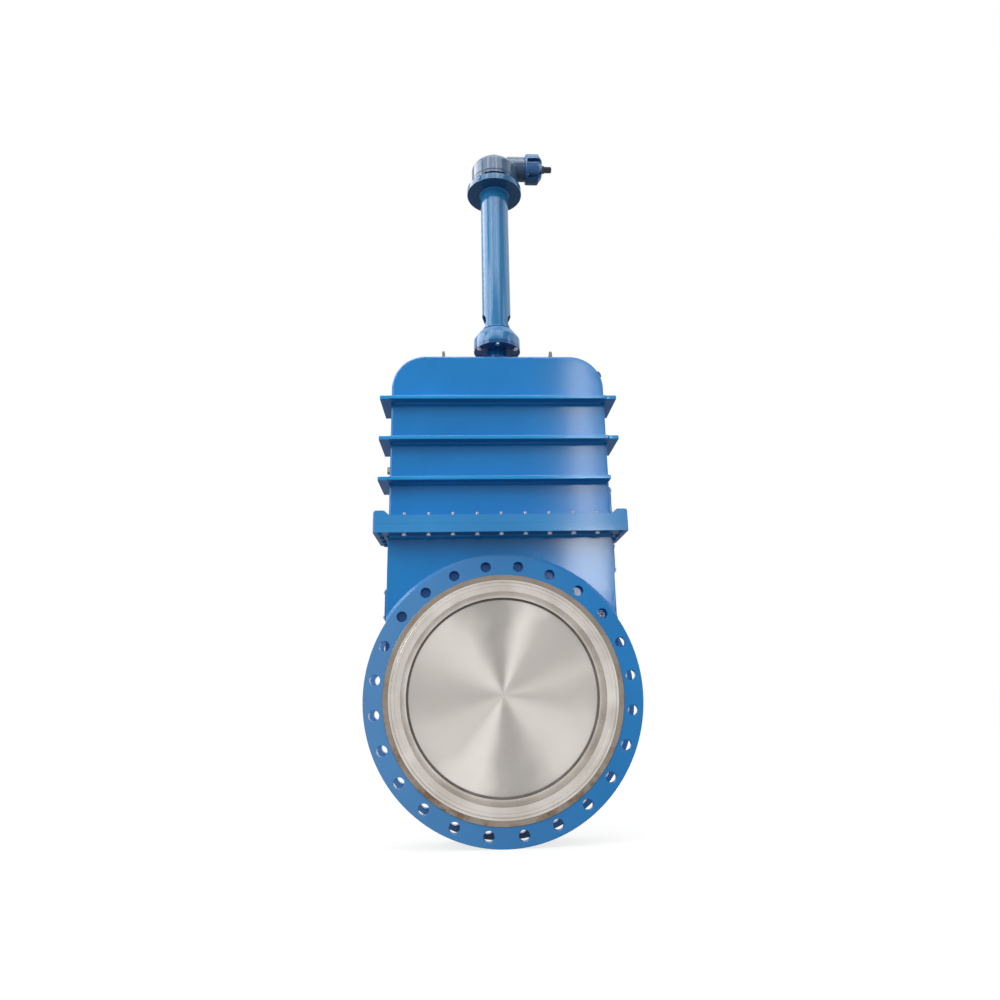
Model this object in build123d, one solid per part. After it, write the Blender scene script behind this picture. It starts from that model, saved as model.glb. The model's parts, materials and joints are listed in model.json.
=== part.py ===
from build123d import *
from math import acos, atan2, cos, degrees, pi, radians, sin, sqrt, tan
import os

# Knife gate valve, DN 800, flanged, with a bevel gear operator on a tubular yoke.
# Millimetres. Origin at the bore centre, +Z up along the stem, the bore along Y.
# The gate is shut, its rest position.

# Port lining and seats, measured outward from the port
port_radius = 378.0
liner_wall = 7.0
liner_step_width = 21.0
liner_face_width = 44.0
liner_step_depth = 4.0
liner_groove_from_rim = 10.0
liner_groove_width = 2.5
seat_step = 15.0
seat_thickness = 6.7
seal_lip = 8.0
seal_groove_depth = 5.0
seal_groove_width = 2.5
seal_recess = 0.9

# Pipe flanges, EN 1092 PN 16 for DN 800: 1025 outside, 950 bolt circle
face_to_face = 190.0
raised_face_width = 19.0
raised_face_height = 2.0
bolt_circle_past_face = 34.0
flange_rim_width = 37.5
flange_thickness = 32.0
flange_bolt_count = 24
flange_hole_diameter = 39.0
flange_weld_leg = 15.0

# Gate
gate_thickness = 30.0
gate_overlap = 10.0
gate_head = 75.0
gate_corner_radius = 60.0
gate_edge_chamfer = 4.0

# Welded body chest
wall = 16.0
gate_side_room = 27.5
joint_above_flange = 89.0

# Flanged joint between body and bonnet
joint_flange_proud_side = 51.0
joint_flange_proud_front = 72.75
joint_flange_thickness = 33.0
joint_flange_corner = 8.0
joint_gasket_thickness = 1.5
joint_bolt_diameter = 12.0
joint_bolt_edge = 24.0
joint_bolt_from_end = 24.5
joint_bolts_each_side_of_middle = 5
joint_bolt_tip = 14.0
end_bolt_pitch = 75.0
corner_pad_length = 62.0
corner_pad_slope = 20.0
corner_pad_depth = 46.0
corner_pad_height = 18.0
corner_pad_round = 12.0

# Bonnet and its ribs, whose tops are measured from the bonnet's foot
room_over_clevis = 23.0
bonnet_shoulder_radius = 140.0
bonnet_edge_radius = 10.0
rib_tops = {"lower_rib": 162.3, "middle_rib": 330.0, "upper_rib": 502.5}
rib_without_right_bar = "lower_rib"
rib_thickness = 16.0
rib_proud_front = 48.0
rib_proud_side = 41.0
rib_side_bar_drop = 2.0

# Gate guides
guide_grip = 9.0
guide_half_depth = 24.0
guide_bottom = 20.0
guide_short_of_open_gate = 28.0

# Stem, clevis and pin
stem_diameter = 48.0
stem_below_collar = 2.0
thread_lead = 12.0
opening_turns = 64
clevis_width = 140.0
clevis_depth = 72.0
clevis_grip = 70.0
clevis_above_gate = 90.0
clevis_fork_gap = 2.0
stem_socket_depth = 62.0
clevis_pin_diameter = 30.0
clevis_pin_below_top = 34.0
pin_head_thickness = 5.0
pin_head_radius = 20.0
split_pin_radius = 2.0
split_pin_half_length = 21.0
stem_end_chamfer = 3.0

# Stuffing box
neck_diameter = 82.0
neck_length = 46.0
packing_radius = 32.0
packing_floor = 15.0
packing_section = 8.0
packing_ring_count = 7
follower_stroke_left = 71.0
follower_flange_radius = 50.0
follower_flange_thickness = 12.0
gland_stud_circle_radius = 42.0
gland_stud_diameter = 10.0
gland_stud_depth = 15.6
gland_stud_length = 131.0
gland_nut_height = 9.0

# Yoke
base_flange_radius = 99.0
stuffing_flange_thickness = 16.0
yoke_base_rim = 36.0
base_bolt_circle_radius = 87.5
base_bolt_diameter = 12.0
base_bolt_depth = 20.0
base_bolt_count = 6
yoke_hub_radius = 76.0
yoke_hub_height = 34.0
yoke_hub_neck_height = 10.0
yoke_tube_diameter = 123.6
yoke_tube_wall = 8.0
yoke_tube_socket = 30.0
yoke_tube_length = 718.0
window_above_hub = 3.0
window_height = 71.0
window_width = 80.0
window_corner_radius = 34.0
window_start = 30.0
head_flange_radius = 123.5
head_flange_thickness = 30.0
head_flange_bore = 34.0

# Gear operator
lug_height = 25.0
lug_radial = 34.0
lug_width = 64.0
lug_bolt_circle_radius = 84.0
lug_bolt_diameter = 16.0
lug_screw_head_radius = 12.0
lug_screw_head_height = 16.0
lug_screw_sunk = 1.0
base_plate_thickness = 12.0
housing_radius = 102.0
housing_wall = 9.0
housing_height = 65.0
dome_shoulder_radius = 90.0
dome_shoulder_height = 19.0
dome_top_radius = 38.0
dome_height = 62.0
dome_wall = 8.0
dome_bore_clearance = 4.0
dome_collar_radius = 33.0
dome_collar_height = 10.0
input_above_base = 80.5
input_neck_radius = 54.0
input_neck_wall = 13.0
input_neck_start = 58.0
input_neck_end = 143.0
input_cap_radius = 67.0
input_cap_end = 221.0
input_cap_nose_radius = 43.0
input_cap_nose_length = 18.0
input_cap_rear_chamfer = 5.0
input_cap_floor = 12.0
input_cap_flange = 11.0
input_cap_pocket_radius = 14.0
input_cap_pocket_circle_radius = 54.0
input_spigot_start = 96.0
input_bearing_lip = 3.0
input_cap_bolt_count = 6
input_cap_bolt_circle_radius = 47.5
input_cap_bolt_diameter = 8.0

# Bevel gears and drive sleeve
wheel_teeth = 45
pinion_teeth = 15
wheel_pitch_diameter = 150.0
gear_face_width = 21.0
gear_addendum = 2.9
gear_dedendum = 3.8
gear_backlash = 0.9
gear_root_sink = 1.0
gear_rim_taper = 2.0
flank_steps = 3
pressure_angle = 20.0
wheel_bottom_drop = 44.0
sleeve_radius = 36.0
sleeve_bottom_drop = 66.0
sleeve_top_rise = 6.0
nut_radius = 31.0
nut_flange_radius = 34.0
nut_flange_thickness = 6.0
nut_length = 62.0
wheel_key_width = 10.0
wheel_key_depth = 6.0

# Bearings and input shaft
bearing_ball_diameter = 7.0
lower_race_inner = 37.5
lower_race_outer = 58.0
upper_race_inner = 28.0
upper_race_outer = 44.0
race_thickness = 4.0
race_gap = 5.6
thrust_ball_count = 16
bearing_seat_wall = 4.0
input_shaft_diameter = 28.0
input_shaft_start = 57.0
input_shaft_shoulder = 18.0
input_shaft_collar_radius = 20.0
input_shaft_collar_tip_radius = 16.0
input_shaft_collar_end = 234.0
input_shaft_end = 267.5
input_seal_radius = 22.0
input_bearing_outer = 34.0
input_bearing_width = 15.0
input_ball_diameter = 8.4
input_ball_count = 9
input_ring_thickness = 6.4
pinion_back = 89.0
pinion_room = 30.0
pinion_key_width = 8.0
pinion_key_depth = 3.5
shaft_end_chamfer = 4.0

# Small fittings
lifting_eye_spacing = 458.0
eye_ring_outer = 25.0
eye_ring_section = 6.0
eye_height = 50.0
eye_collar_radius = 15.0
eye_collar_height = 7.0
eye_shank_diameter = 12.0
vent_plug_angle = 32.0
vent_plug_radius = 13.5
vent_plug_height = 23.0
vent_hole_radius = 9.0
flush_plug_above_rib = 53.7
flush_plug_flats = 27.0
flush_plug_proud = 15.5
flush_thread_radius = 10.5
port_cover_thickness = 9.0
port_cover_width = 84.0
port_cover_length = 118.0
port_cover_hole = 26.0
port_cover_bolt_diameter = 8.0
port_cover_bolt_inset = 13.0
port_cover_corner = 9.0
port_cover_screw_grip = 12.8
left_port_below_joint = 201.5
right_port_below_joint = 30.5
bonnet_port_above_joint = 14.0
drain_angle = 213.0
drain_nipple_radius = 13.5
drain_nipple_wall = 3.5
drain_cap_flats = 32.0
drain_cap_length = 26.0
drain_cap_end_wall = 10.4
drain_past_flange = 12.5

# Bolt proportions, as shares of the thread's diameter
head_flats_share = 1.5
head_height_share = 0.65
tip_chamfer_share = 1 / 12
tapped_depth_share = 1.2

# Clearances
running = 0.3
fitted = 0.1
turning_fit = 0.05
bolt_clearance = 1.0
slide = 0.3

# Values worked out from the sizes above: the port, its flanges and the gate
liner_outer = port_radius + liner_wall
liner_step_radius = port_radius + liner_step_width
liner_face_radius = port_radius + liner_face_width
liner_groove_radius = liner_face_radius - liner_groove_from_rim
seat_radius = port_radius - seat_step
raised_face_radius = liner_face_radius + raised_face_width
bolt_circle_radius = raised_face_radius + bolt_circle_past_face
flange_radius = bolt_circle_radius + flange_rim_width
flange_face = face_to_face / 2
gate_half_width = liner_outer + gate_overlap
gate_top = gate_half_width + gate_head
gate_face = gate_thickness / 2
seat_face = gate_face + slide
seat_front = seat_face + seat_thickness

# The body and the bonnet
chest_outer = flange_face - flange_thickness
chest_inner = chest_outer - wall
cavity_half_width = gate_half_width + gate_side_room
body_half_width = cavity_half_width + wall
body_top = flange_radius + joint_above_flange
joint_half_width = body_half_width + joint_flange_proud_side
joint_half_depth = chest_outer + joint_flange_proud_front
joint_gasket_bottom = body_top + joint_flange_thickness
bonnet_flange_bottom = joint_gasket_bottom + joint_gasket_thickness
bonnet_bottom = bonnet_flange_bottom + joint_flange_thickness
clevis_bottom = gate_top - clevis_grip
clevis_top = gate_top + clevis_above_gate
clevis_pin_height = gate_top - clevis_pin_below_top
gate_travel = thread_lead * opening_turns
bonnet_top = clevis_top + gate_travel + room_over_clevis + wall
guide_inner = gate_half_width - guide_grip
guide_top = gate_top + gate_travel - guide_short_of_open_gate
flush_plug_height = bonnet_bottom + rib_tops["lower_rib"] + flush_plug_above_rib
left_port_height = body_top - port_cover_length / 2 - left_port_below_joint
right_port_height = body_top - port_cover_length / 2 - right_port_below_joint
bonnet_port_height = bonnet_bottom + port_cover_length / 2 + bonnet_port_above_joint
drain_reach = flange_radius + drain_past_flange

# The stuffing box and the yoke
stem_radius = stem_diameter / 2
neck_top = bonnet_top + neck_length
stuffing_box_top = neck_top + stuffing_flange_thickness
yoke_base_top = stuffing_box_top + yoke_base_rim
packing_bottom = bonnet_top - wall + packing_floor
packing_top = packing_bottom + packing_section * packing_ring_count
follower_flange_bottom = stuffing_box_top + follower_stroke_left
follower_flange_top = follower_flange_bottom + follower_flange_thickness
yoke_outer = yoke_tube_diameter / 2
yoke_inner = yoke_outer - yoke_tube_wall
hub_top = yoke_base_top + yoke_hub_height + yoke_hub_neck_height
yoke_tube_bottom = hub_top - yoke_tube_socket
yoke_top = yoke_tube_bottom + yoke_tube_length
head_flange_top = yoke_top + head_flange_thickness

# The gear operator
base_plate_bottom = head_flange_top + lug_height
housing_bottom = base_plate_bottom + base_plate_thickness
housing_top = housing_bottom + housing_height
dome_top = housing_top + dome_height
collar_top = dome_top + dome_collar_height
stem_top = collar_top - stem_below_collar
input_height = housing_bottom + input_above_base
housing_inner = housing_radius - housing_wall
input_neck_inner = input_neck_radius - input_neck_wall
gear_module = wheel_pitch_diameter / wheel_teeth
wheel_pitch_radius = wheel_pitch_diameter / 2
pinion_pitch_radius = gear_module * pinion_teeth / 2
cone_distance = sqrt(wheel_pitch_radius ** 2 + pinion_pitch_radius ** 2)
wheel_cone = degrees(atan2(wheel_pitch_radius, pinion_pitch_radius))
pinion_cone = 90 - wheel_cone
wheel_bottom = input_height - wheel_bottom_drop
thrust_bearing_height = 2 * race_thickness + race_gap
sleeve_bottom = input_height - sleeve_bottom_drop
sleeve_top = input_height + sleeve_top_rise
shaft_radius = input_shaft_diameter / 2
at_input = Pos(0, 0, input_height)


def front(part):
    """A shape drawn outward along +Z, turned to face the front, -Y."""
    return Rot(90, 0, 0) * part


def rear(part):
    """A shape drawn outward along +Z, turned to face the rear, +Y."""
    return Rot(-90, 0, 0) * part


def toward_x(part):
    """A shape drawn along +Z, turned to point along +X."""
    return Rot(0, 90, 0) * part


def turned(*points):
    """A solid of revolution about Z from its (radius, height) corners."""
    outline = Plane.XZ * Polygon(*points, align=None)
    return revolve(outline, Axis.Z)


def post(radius, low, high):
    """A round bar about Z between two heights."""
    return turned((0, low), (radius, low), (radius, high), (0, high))


def tube(outer, inner, low, high):
    """A round tube about Z between two heights."""
    return turned((inner, low), (outer, low), (outer, high), (inner, high))


def hexagon(across_flats, low, high):
    """A hexagonal bar about Z between two heights."""
    bar = extrude(RegularPolygon(across_flats / 2, 6, major_radius=False), high - low)
    return Pos(0, 0, low) * bar


def block(x_low, x_high, y_low, y_high, z_low, z_high):
    """A rectangular block between two corners."""
    solid = Box(x_high - x_low, y_high - y_low, z_high - z_low, align=Align.MIN)
    return Pos(x_low, y_low, z_low) * solid


def around(count, radius, offset=0.0):
    """Places on a circle about Z, the first at the offset angle."""
    return [Rot(0, 0, offset + 360 * i / count) * Pos(radius, 0, 0) for i in range(count)]


def head_width(diameter):
    """Width across the flats of a hexagon head."""
    return head_flats_share * diameter


def head_height(diameter):
    return head_height_share * diameter


def bolt(diameter, grip_low, grip_high):
    """A hexagon bolt about Z: shank between the heights, head below the lower one."""
    head = hexagon(head_width(diameter), grip_low - head_height(diameter), grip_low)
    return head + post(diameter / 2, grip_low, grip_high)


def both_sides(part):
    """The front piece and its mirror image at the rear."""
    return part, mirror(part, Plane.XZ)


def group(pieces):
    """Separate solids kept together in one node."""
    return Compound(children=[solid for piece in pieces for solid in piece.solids()])


nodes = {}


# Welded body chest
def chest_outline(half_width, lower_radius, top):
    """The chest seen from the front: round below the bore, straight above it."""
    outline = Circle(lower_radius) + Pos(0, top / 2) * Rectangle(2 * half_width, top)
    return Plane.XZ * outline


def across(outline, y_low, y_high):
    """A sheet drawn on the XZ plane, given thickness between two Y values."""
    return Pos(0, y_high, 0) * extrude(outline, y_high - y_low)


body_outline = chest_outline(body_half_width, body_half_width, body_top)
cavity_outline = chest_outline(cavity_half_width, cavity_half_width, body_top)
rear_plate = across(body_outline, chest_inner, chest_outer) - rear(post(liner_outer, 0, flange_face))
nodes["body_rear_plate"] = rear_plate
nodes["body_front_plate"] = mirror(rear_plate, Plane.XZ)


def side_hole(side, radius, height):
    """A round hole through a side wall."""
    start = side * (cavity_half_width - wall)
    return Pos(start, 0, height) * Rot(0, 90 * side, 0) * post(radius, 0, 3 * wall)


def drain_place(part):
    """A shape drawn along +Z, turned to point down and out at the drain."""
    return Rot(0, drain_angle, 0) * part


side_band = across(body_outline, -chest_inner, chest_inner) - across(cavity_outline, -chest_inner, chest_inner)
side_band -= side_hole(-1, port_cover_hole, left_port_height)
side_band -= side_hole(1, port_cover_hole, right_port_height)
side_band -= drain_place(post(drain_nipple_radius + fitted, cavity_half_width - wall, flange_radius))
nodes["body_side_band"] = side_band


# Flanged joint
def joint_slab(low, high):
    """The joint's outline between two heights, its upright corners rounded."""
    slab = block(-joint_half_width, joint_half_width, -joint_half_depth, joint_half_depth, low, high)
    return fillet(slab.edges().filter_by(Axis.Z), joint_flange_corner)


def joint_plate(low, thickness):
    """One plate of the joint: a wide rectangle with the gate's slot."""
    slot = block(-cavity_half_width, cavity_half_width, -chest_inner, chest_inner, low, low + thickness)
    return joint_slab(low, low + thickness) - slot


joint_bolt_y = joint_half_depth - joint_bolt_edge
joint_bolt_x = joint_half_width - joint_bolt_from_end
joint_bolt_pitch = joint_bolt_x / joint_bolts_each_side_of_middle
row = range(-joint_bolts_each_side_of_middle, joint_bolts_each_side_of_middle + 1)
joint_bolt_places = [(i * joint_bolt_pitch, s * joint_bolt_y) for i in row for s in (-1, 1)]
joint_bolt_places += [(s * joint_bolt_x, e * end_bolt_pitch / 2) for s in (-1, 1) for e in (-1, 1)]
joint_bolt_radius = joint_bolt_diameter / 2


def drilled(part, radius, places, low, high):
    """The part with a round hole at each place."""
    return part - [Pos(x, y, 0) * post(radius, low, high) for x, y in places]


wide_hole = joint_bolt_radius + bolt_clearance
nodes["body_top_flange"] = drilled(
    joint_plate(body_top, joint_flange_thickness), wide_hole, joint_bolt_places, body_top, bonnet_bottom)
nodes["bonnet_joint_gasket"] = drilled(
    joint_plate(joint_gasket_bottom, joint_gasket_thickness), wide_hole, joint_bolt_places,
    body_top, bonnet_bottom)
bonnet_flange = joint_plate(bonnet_flange_bottom, joint_flange_thickness)
pad_top = bonnet_bottom + corner_pad_height
pad_start = joint_half_width - corner_pad_length
pad_outline = Plane.XZ * Polygon(
    (pad_start, bonnet_bottom), (joint_half_width, bonnet_bottom), (joint_half_width, pad_top),
    (pad_start + corner_pad_slope, pad_top), align=None)
pad_outline = fillet(pad_outline.vertices().group_by(Axis.Z)[-1], corner_pad_round)
pad = across(pad_outline, joint_half_depth - corner_pad_depth, joint_half_depth)
pad = pad & joint_slab(bonnet_bottom, pad_top)
for corner in (pad, mirror(pad, Plane.YZ)):
    bonnet_flange += [*both_sides(corner)]
nodes["bonnet_bottom_flange"] = drilled(
    bonnet_flange, joint_bolt_radius + fitted, joint_bolt_places, bonnet_flange_bottom,
    bonnet_bottom + joint_bolt_tip + running)
joint_bolt = bolt(joint_bolt_diameter, body_top, bonnet_bottom + joint_bolt_tip)
joint_bolt = chamfer(joint_bolt.edges().group_by(Axis.Z)[-1], joint_bolt_diameter * tip_chamfer_share)
nodes["joint_bolts"] = group([Pos(x, y, 0) * joint_bolt for x, y in joint_bolt_places])

# Pipe flanges, drawn facing outward along +Z
flange_ring = turned(
    (liner_face_radius, chest_outer), (flange_radius, chest_outer),
    (flange_radius, flange_face - raised_face_height),
    (raised_face_radius, flange_face - raised_face_height),
    (raised_face_radius, flange_face), (liner_face_radius, flange_face))
hole_radius = flange_hole_diameter / 2
hole_start = 180 / flange_bolt_count
for place in around(flange_bolt_count, bolt_circle_radius, 90 + hole_start):
    flange_ring -= place * post(hole_radius, chest_outer, flange_face)
weld = turned(
    (flange_radius - 1, chest_outer), (flange_radius + flange_weld_leg, chest_outer),
    (flange_radius, chest_outer + flange_weld_leg), (flange_radius - 1, chest_outer + flange_weld_leg))
rear_weld_reach = block(-body_half_width, body_half_width, 0, flange_face, 0, body_top)
rear_flange = rear(flange_ring) + (rear(weld) & rear_weld_reach)
nodes["rear_flange_ring"] = rear_flange
nodes["front_flange_ring"] = mirror(rear_flange, Plane.XZ)

# Stainless port lining: a stepped face ring and a barrel through the chest wall
step_face = flange_face - liner_step_depth
liner = turned(
    (port_radius, seat_front), (liner_outer - fitted, seat_front), (liner_outer - fitted, chest_outer),
    (liner_face_radius - fitted, chest_outer), (liner_face_radius - fitted, flange_face),
    (liner_step_radius, flange_face), (liner_step_radius, step_face), (port_radius, step_face))
liner -= tube(liner_groove_radius + liner_groove_width / 2, liner_groove_radius - liner_groove_width / 2,
              flange_face - liner_groove_width / 2, flange_face)
nodes["front_face_liner"] = front(liner)
nodes["rear_face_liner"] = rear(liner)

# Seat rings with a lip seal in a groove
groove_middle = seat_face + seat_thickness / 2
groove_low = groove_middle - seal_groove_width / 2
groove_high = groove_middle + seal_groove_width / 2
seat = tube(liner_outer - fitted, seat_radius, seat_face, seat_front)
seat -= tube(seat_radius + seal_groove_depth, seat_radius - 1, groove_low, groove_high)
seal_outer = seat_radius - fitted
seal_inner = seat_radius - seal_lip
seal = turned(
    (seal_inner, seat_face), (seal_outer, seat_face), (seal_outer, groove_low + fitted),
    (seat_radius + seal_groove_depth - fitted, groove_low + fitted),
    (seat_radius + seal_groove_depth - fitted, groove_high - fitted),
    (seal_outer, groove_high - fitted), (seal_outer, seat_front - seal_recess),
    (seal_inner, seat_front - seal_recess))
nodes["front_seat_ring"] = front(seat)
nodes["rear_seat_ring"] = rear(seat)
nodes["front_seat_seal"] = front(seal)
nodes["rear_seat_seal"] = rear(seal)


# Gate guides: channels that hold the gate's two long edges
def guide_pair(low, high):
    """The left and right channel between two heights."""
    bar = block(guide_inner, cavity_half_width, -guide_half_depth, guide_half_depth, low, high)
    slot = block(guide_inner, gate_half_width + slide, -seat_face, seat_face, low, high)
    channel = bar - slot
    return [channel, mirror(channel, Plane.YZ)]


nodes["body_gate_guides"] = group(guide_pair(guide_bottom, joint_gasket_bottom))
nodes["bonnet_gate_guides"] = group(guide_pair(bonnet_flange_bottom, guide_top))


# Bonnet
def bonnet_block(half_width, half_depth, top, shoulder_radius):
    """The bonnet's outline with its round shoulders, as a solid."""
    height = top - bonnet_bottom
    sketch = Plane.XZ * Pos(0, bonnet_bottom + height / 2) * Rectangle(2 * half_width, height)
    sketch = fillet(sketch.vertices().group_by(Axis.Z)[-1], shoulder_radius)
    return across(sketch, -half_depth, half_depth)


shell_outer = bonnet_block(body_half_width, chest_outer, bonnet_top, bonnet_shoulder_radius)
rim = [e for e in shell_outer.edges() if e.center().Z > bonnet_bottom + 1 and abs(e.center().Y) > chest_inner]
shell_outer = fillet(rim, bonnet_edge_radius)
shell_inner = bonnet_block(cavity_half_width, chest_inner, bonnet_top - wall, bonnet_shoulder_radius - wall)
shell = shell_outer - shell_inner
neck_radius = neck_diameter / 2
shell -= post(neck_radius + fitted, bonnet_top - 2 * wall, bonnet_top + 1)
eye_x = lifting_eye_spacing / 2
eye_shank = eye_shank_diameter / 2
for side in (-1, 1):
    shell -= Pos(side * eye_x, 0, 0) * post(eye_shank + fitted, bonnet_top - 2 * wall, bonnet_top + 1)
shoulder_centre = Pos(body_half_width - bonnet_shoulder_radius, 0, bonnet_top - bonnet_shoulder_radius)
vent_place = shoulder_centre * Rot(0, 90 - vent_plug_angle, 0)
shell -= vent_place * post(vent_hole_radius + fitted, bonnet_shoulder_radius - 2 * wall, bonnet_shoulder_radius + 1)
shell -= side_hole(-1, flush_thread_radius + fitted, flush_plug_height)
shell -= side_hole(1, port_cover_hole, bonnet_port_height)
nodes["bonnet_shell"] = shell

# Stiffening ribs: front and rear bars, and side bars across their ends
for name, rise in rib_tops.items():
    top = bonnet_bottom + rise
    front_bar = block(-body_half_width, body_half_width, -chest_outer - rib_proud_front, -chest_outer,
                      top - rib_thickness, top)
    rib_reach = chest_outer + rib_proud_front
    side_top = top - rib_side_bar_drop
    side_bar = block(body_half_width, body_half_width + rib_proud_side, -rib_reach, rib_reach,
                     side_top - rib_thickness, side_top)
    bars = [*both_sides(front_bar), mirror(side_bar, Plane.YZ)]
    if name != rib_without_right_bar:
        bars.append(side_bar)
    nodes[name] = group(bars)

# Stuffing box with its flange
box_bottom = bonnet_top - wall
box = turned(
    (stem_radius + running, box_bottom), (neck_radius, box_bottom), (neck_radius, neck_top),
    (base_flange_radius, neck_top), (base_flange_radius, stuffing_box_top),
    (packing_radius, stuffing_box_top), (packing_radius, packing_bottom),
    (stem_radius + running, packing_bottom))
gland_stud_radius = gland_stud_diameter / 2
base_bolt_radius = base_bolt_diameter / 2
base_bolt_places = around(base_bolt_count, base_bolt_circle_radius, 90)
gland_places = around(2, gland_stud_circle_radius)
for place in gland_places:
    box -= place * post(gland_stud_radius + fitted, stuffing_box_top - gland_stud_depth, stuffing_box_top)
for place in base_bolt_places:
    box -= place * post(base_bolt_radius + bolt_clearance, neck_top, stuffing_box_top)
nodes["stuffing_box"] = box
rings = []
for i in range(packing_ring_count):
    low = packing_bottom + i * packing_section
    rings.append(tube(packing_radius - fitted, stem_radius + running, low, low + packing_section))
nodes["packing_rings"] = group(rings)
follower = turned(
    (stem_radius + running, packing_top), (packing_radius - running, packing_top),
    (packing_radius - running, follower_flange_bottom), (follower_flange_radius, follower_flange_bottom),
    (follower_flange_radius, follower_flange_top), (stem_radius + running, follower_flange_top))
for place in gland_places:
    follower -= place * post(gland_stud_radius + running, follower_flange_bottom, follower_flange_top)
nodes["gland_follower"] = follower
stud_low = stuffing_box_top - gland_stud_depth
gland_stud = post(gland_stud_radius, stud_low, stud_low + gland_stud_length)
nodes["gland_studs"] = group([place * gland_stud for place in gland_places])
gland_nut = hexagon(head_width(gland_stud_diameter), follower_flange_top, follower_flange_top + gland_nut_height)
gland_nut -= post(gland_stud_radius + fitted, follower_flange_top, follower_flange_top + gland_nut_height)
nodes["gland_nuts"] = group([place * gland_nut for place in gland_places])

# Yoke, its base drilled from below and its tube with a window at each side
base_flange = turned(
    (yoke_inner, stuffing_box_top), (base_flange_radius, stuffing_box_top),
    (base_flange_radius, yoke_base_top), (yoke_hub_radius, yoke_base_top + yoke_hub_height),
    (yoke_outer + fitted, hub_top), (yoke_outer + fitted, yoke_tube_bottom), (yoke_inner, yoke_tube_bottom))
base_bolt_tip = stuffing_box_top + base_bolt_depth
for place in base_bolt_places:
    base_flange -= place * post(base_bolt_radius + fitted, stuffing_box_top, base_bolt_tip)
nodes["yoke_base_flange"] = base_flange
base_bolt = bolt(base_bolt_diameter, neck_top, base_bolt_tip)
nodes["base_bolts"] = group([place * base_bolt for place in base_bolt_places])
yoke_tube = tube(yoke_outer, yoke_inner, yoke_tube_bottom, yoke_top)
window_shape = Plane.YZ * RectangleRounded(window_width, window_height, window_corner_radius)
window = Pos(window_start, 0, hub_top + window_above_hub + window_height / 2) * extrude(window_shape, yoke_outer)
yoke_tube -= [window, mirror(window, Plane.YZ)]
nodes["yoke_tube"] = yoke_tube
lug_bolt_radius = lug_bolt_diameter / 2
lug_bolt_places = around(4, lug_bolt_circle_radius, 45)
head_flange = tube(head_flange_radius, head_flange_bore, yoke_top, head_flange_top)
screw_seat = yoke_top + lug_screw_sunk + lug_screw_head_height
for place in lug_bolt_places:
    head_flange -= place * post(lug_bolt_radius + bolt_clearance, yoke_top, head_flange_top)
    head_flange -= place * post(lug_screw_head_radius + fitted, yoke_top, screw_seat)
nodes["yoke_head_flange"] = head_flange

# Gear operator base plate, on four lugs over the yoke's head flange
lower_bearing_bottom = wheel_bottom - thrust_bearing_height
base_plate = tube(housing_radius, sleeve_radius + running, base_plate_bottom, housing_bottom)
base_plate += tube(lower_race_outer + bearing_seat_wall, sleeve_radius + running, housing_bottom - 1,
                   lower_bearing_bottom)
for place in lug_bolt_places:
    lug = block(-lug_radial / 2, lug_radial / 2, -lug_width / 2, lug_width / 2, head_flange_top, base_plate_bottom)
    base_plate += (place * lug) & post(housing_radius, head_flange_top, base_plate_bottom)
for place in lug_bolt_places:
    base_plate -= place * post(lug_bolt_radius + bolt_clearance, head_flange_top, housing_bottom)
nodes["gearbox_base_plate"] = base_plate


# Gear housing: drum, shoulder, dome and the horizontal input neck in one casting
def on_input(radius, low, high):
    """A round bar about the input axis between two X values."""
    return Pos(0, 0, input_height) * toward_x(post(radius, low, high))


shoulder_top = housing_top + dome_shoulder_height
upper_bearing_top = sleeve_top + thrust_bearing_height
outer_form = turned(
    (0, housing_bottom), (housing_radius, housing_bottom), (housing_radius, housing_top),
    (dome_shoulder_radius, shoulder_top), (dome_top_radius, dome_top), (dome_collar_radius, dome_top),
    (dome_collar_radius, collar_top), (0, collar_top))
void_form = turned(
    (0, housing_bottom), (housing_inner, housing_bottom), (housing_inner, housing_top - housing_wall),
    (dome_shoulder_radius - dome_wall, shoulder_top - dome_wall), (dome_top_radius, dome_top - dome_wall),
    (0, dome_top - dome_wall))
void_form -= post(upper_race_outer + bearing_seat_wall, upper_bearing_top, dome_top)
void_form += on_input(input_neck_inner, input_neck_start + input_neck_wall, input_neck_end)
void_form += on_input(pinion_room, upper_race_outer + 2 * bearing_seat_wall, input_neck_end)
housing = outer_form + on_input(input_neck_radius, input_neck_start, input_neck_end) - void_form
housing -= post(stem_radius + dome_bore_clearance, housing_bottom, collar_top)
lug_thread_top = housing_bottom + tapped_depth_share * lug_bolt_diameter
for place in lug_bolt_places:
    pad = post(lug_bolt_radius + dome_wall, housing_bottom, lug_thread_top + dome_wall)
    housing += (place * pad) & outer_form
for place in lug_bolt_places:
    housing -= place * post(lug_bolt_radius + fitted, housing_bottom, lug_thread_top)

# Input bearing cap: a lobed drum with a spigot in the neck, and its bolts in the pockets
cap_bore = input_bearing_outer + turning_fit
cap_floor_low = input_cap_end - input_cap_floor
cap = turned(
    (cap_bore - input_bearing_lip, input_spigot_start), (input_neck_inner - fitted, input_spigot_start),
    (input_neck_inner - fitted, input_neck_end), (input_cap_radius - input_cap_rear_chamfer, input_neck_end),
    (input_cap_radius, input_neck_end + input_cap_rear_chamfer),
    (input_cap_radius, input_cap_end - input_cap_nose_length), (input_cap_nose_radius, input_cap_end),
    (input_seal_radius, input_cap_end), (input_seal_radius, cap_floor_low), (cap_bore, cap_floor_low),
    (cap_bore, input_spigot_start + input_bearing_lip),
    (cap_bore - input_bearing_lip, input_spigot_start + input_bearing_lip))
cap_bolt_radius = input_cap_bolt_diameter / 2
cap_head_seat = input_neck_end + input_cap_flange
cap_bolt_tip = input_neck_end - 2 * input_cap_bolt_diameter
pocket = post(input_cap_pocket_radius, cap_head_seat, input_cap_end)
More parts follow.
